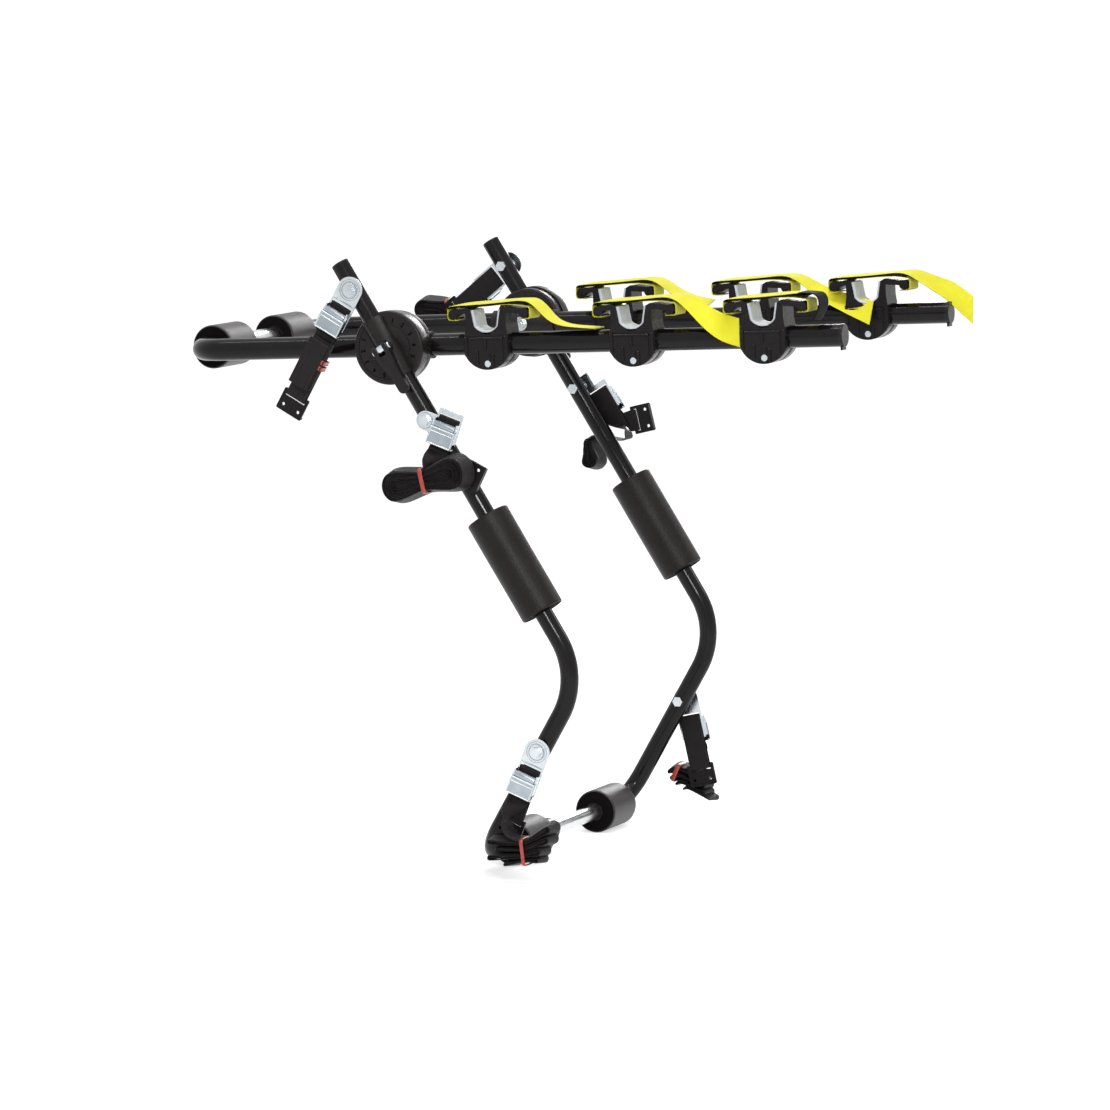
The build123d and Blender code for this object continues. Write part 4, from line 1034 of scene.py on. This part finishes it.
# Finishes of the CAD pieces that stay, with softened edges on pressed and moulded ones
finishes = (
    ("_leg_tube", tube_black, 0.0), ("_arm_tube", tube_black, 0.0),
    ("_spreader_tube", bright_tube, 0.0), ("_plug", lever_plastic, 0.0),
    ("lower_collar", hub_plastic, 0.0), ("_shell", hub_plastic, 0.5),
    ("_axle", zinc, 0.0), ("_hub_lever", lever_plastic, 0.9),
    ("_cradle_bodies", cradle_plastic, 0.8), ("_screws", zinc, 0.0),
    ("_bolts", zinc, 0.25), ("_buckle", zinc, 0.35), ("_cam", zinc_dark, 0.35),
    ("_hook", hook_black, 0.5),
)
weld_distance, edge_segments, edge_angle = 0.00001, 2, 38
for name, node in nodes.items():
    if node.hide_render:
        continue
    for ending, material, soften in finishes:
        if name.endswith(ending):
            node.data.materials.clear()
            node.data.materials.append(material)
            if soften:
                weld = node.modifiers.new("weld", "WELD")
                weld.merge_threshold = weld_distance
                edge = node.modifiers.new("edge", "BEVEL")
                edge.width = soften * MM
                edge.segments = edge_segments
                edge.limit_method = "ANGLE"
                edge.angle_limit = math.radians(edge_angle)
                edge.harden_normals = True
            break
    else:
        raise ValueError(name)


# Floor, backdrop and light

def make_floor():
    """A plain pale floor that shows white to the camera and keeps the rack's shadow."""
    size, drop, own_light = 120.0, 0.0005, 0.61
    mesh = bpy.data.meshes.new("floor")
    level = cad_low.z - drop
    mesh.from_pydata([(-size, -size, level), (size, -size, level), (size, size, level),
                      (-size, size, level)], [], [(0, 1, 2, 3)])
    floor = bpy.data.objects.new("floor", mesh)
    bpy.context.scene.collection.objects.link(floor)
    made, tree, shader = nodes_of("floor_white")
    mesh.materials.append(made)
    shader.inputs["Base Color"].default_value = (0.86, 0.86, 0.86, 1)
    shader.inputs["Roughness"].default_value = 0.9
    shader.inputs["Specular IOR Level"].default_value = 0.0
    shader.inputs["Emission Color"].default_value = (1, 1, 1, 1)
    path = add(tree, "ShaderNodeLightPath")
    seen = combine(tree, "MAXIMUM", path.outputs["Is Camera Ray"], path.outputs["Is Glossy Ray"])
    tree.links.new(combine(tree, "MULTIPLY", seen, own_light),
                   shader.inputs["Emission Strength"])


make_floor()
SKY_LIGHT, SKY_SEEN = 0.28, 1.0
world = bpy.data.worlds.new("world")
bpy.context.scene.world = world
world.use_nodes = True
tree = world.node_tree
ground = tree.nodes["Background"]
ground.inputs["Color"].default_value = (1, 1, 1, 1)
path = add(tree, "ShaderNodeLightPath")
seen = combine(tree, "MAXIMUM", path.outputs["Is Camera Ray"], path.outputs["Is Glossy Ray"])
seen = combine(tree, "MAXIMUM", seen, path.outputs["Is Transmission Ray"])
tree.links.new(spread(tree, seen, SKY_LIGHT, SKY_SEEN, 0.0, 1.0), ground.inputs["Strength"])


def lamp(name, spot, aim, size, power):
    """A soft oblong lamp aimed at a point, its first side lying along the arms."""
    data = bpy.data.lights.new(name, "AREA")
    data.shape = "RECTANGLE"
    data.size, data.size_y = size
    data.energy = power
    made = bpy.data.objects.new(name, data)
    bpy.context.scene.collection.objects.link(made)
    away = (Vector(spot) - Vector(aim)).normalized()
    high = Vector((0, 1, 0)).cross(away).normalized()
    made.matrix_world = Matrix.Translation(Vector(spot)) @ Matrix(
        (high.cross(away), high, away)).transposed().to_4x4()
    made.visible_camera = False


lamp("key", (-3.0, -1.6, 1.1), (0, -0.1, -0.2), (0.45, 0.45), 35)
lamp("strip", (-0.5, -0.1, 2.5), (-0.1, -0.1, -0.2), (3.6, 0.10), 28)
lamp("edge", (3.0, 0.25, 0.8), (0, 0, -0.1), (0.7, 1.3), 23)
lamp("fill", (2.2, -2.2, 1.2), (0, -0.1, -0.2), (0.6, 0.6), 5.3)
sky_data = bpy.data.lights.new("sky", "SUN")
sky_data.energy = 0.9
sky_data.angle = math.radians(50)
sky = bpy.data.objects.new("sky", sky_data)
bpy.context.scene.collection.objects.link(sky)
sky.rotation_euler = (math.radians(14), math.radians(-24), 0)

bpy.context.scene.view_settings.view_transform = "Standard"
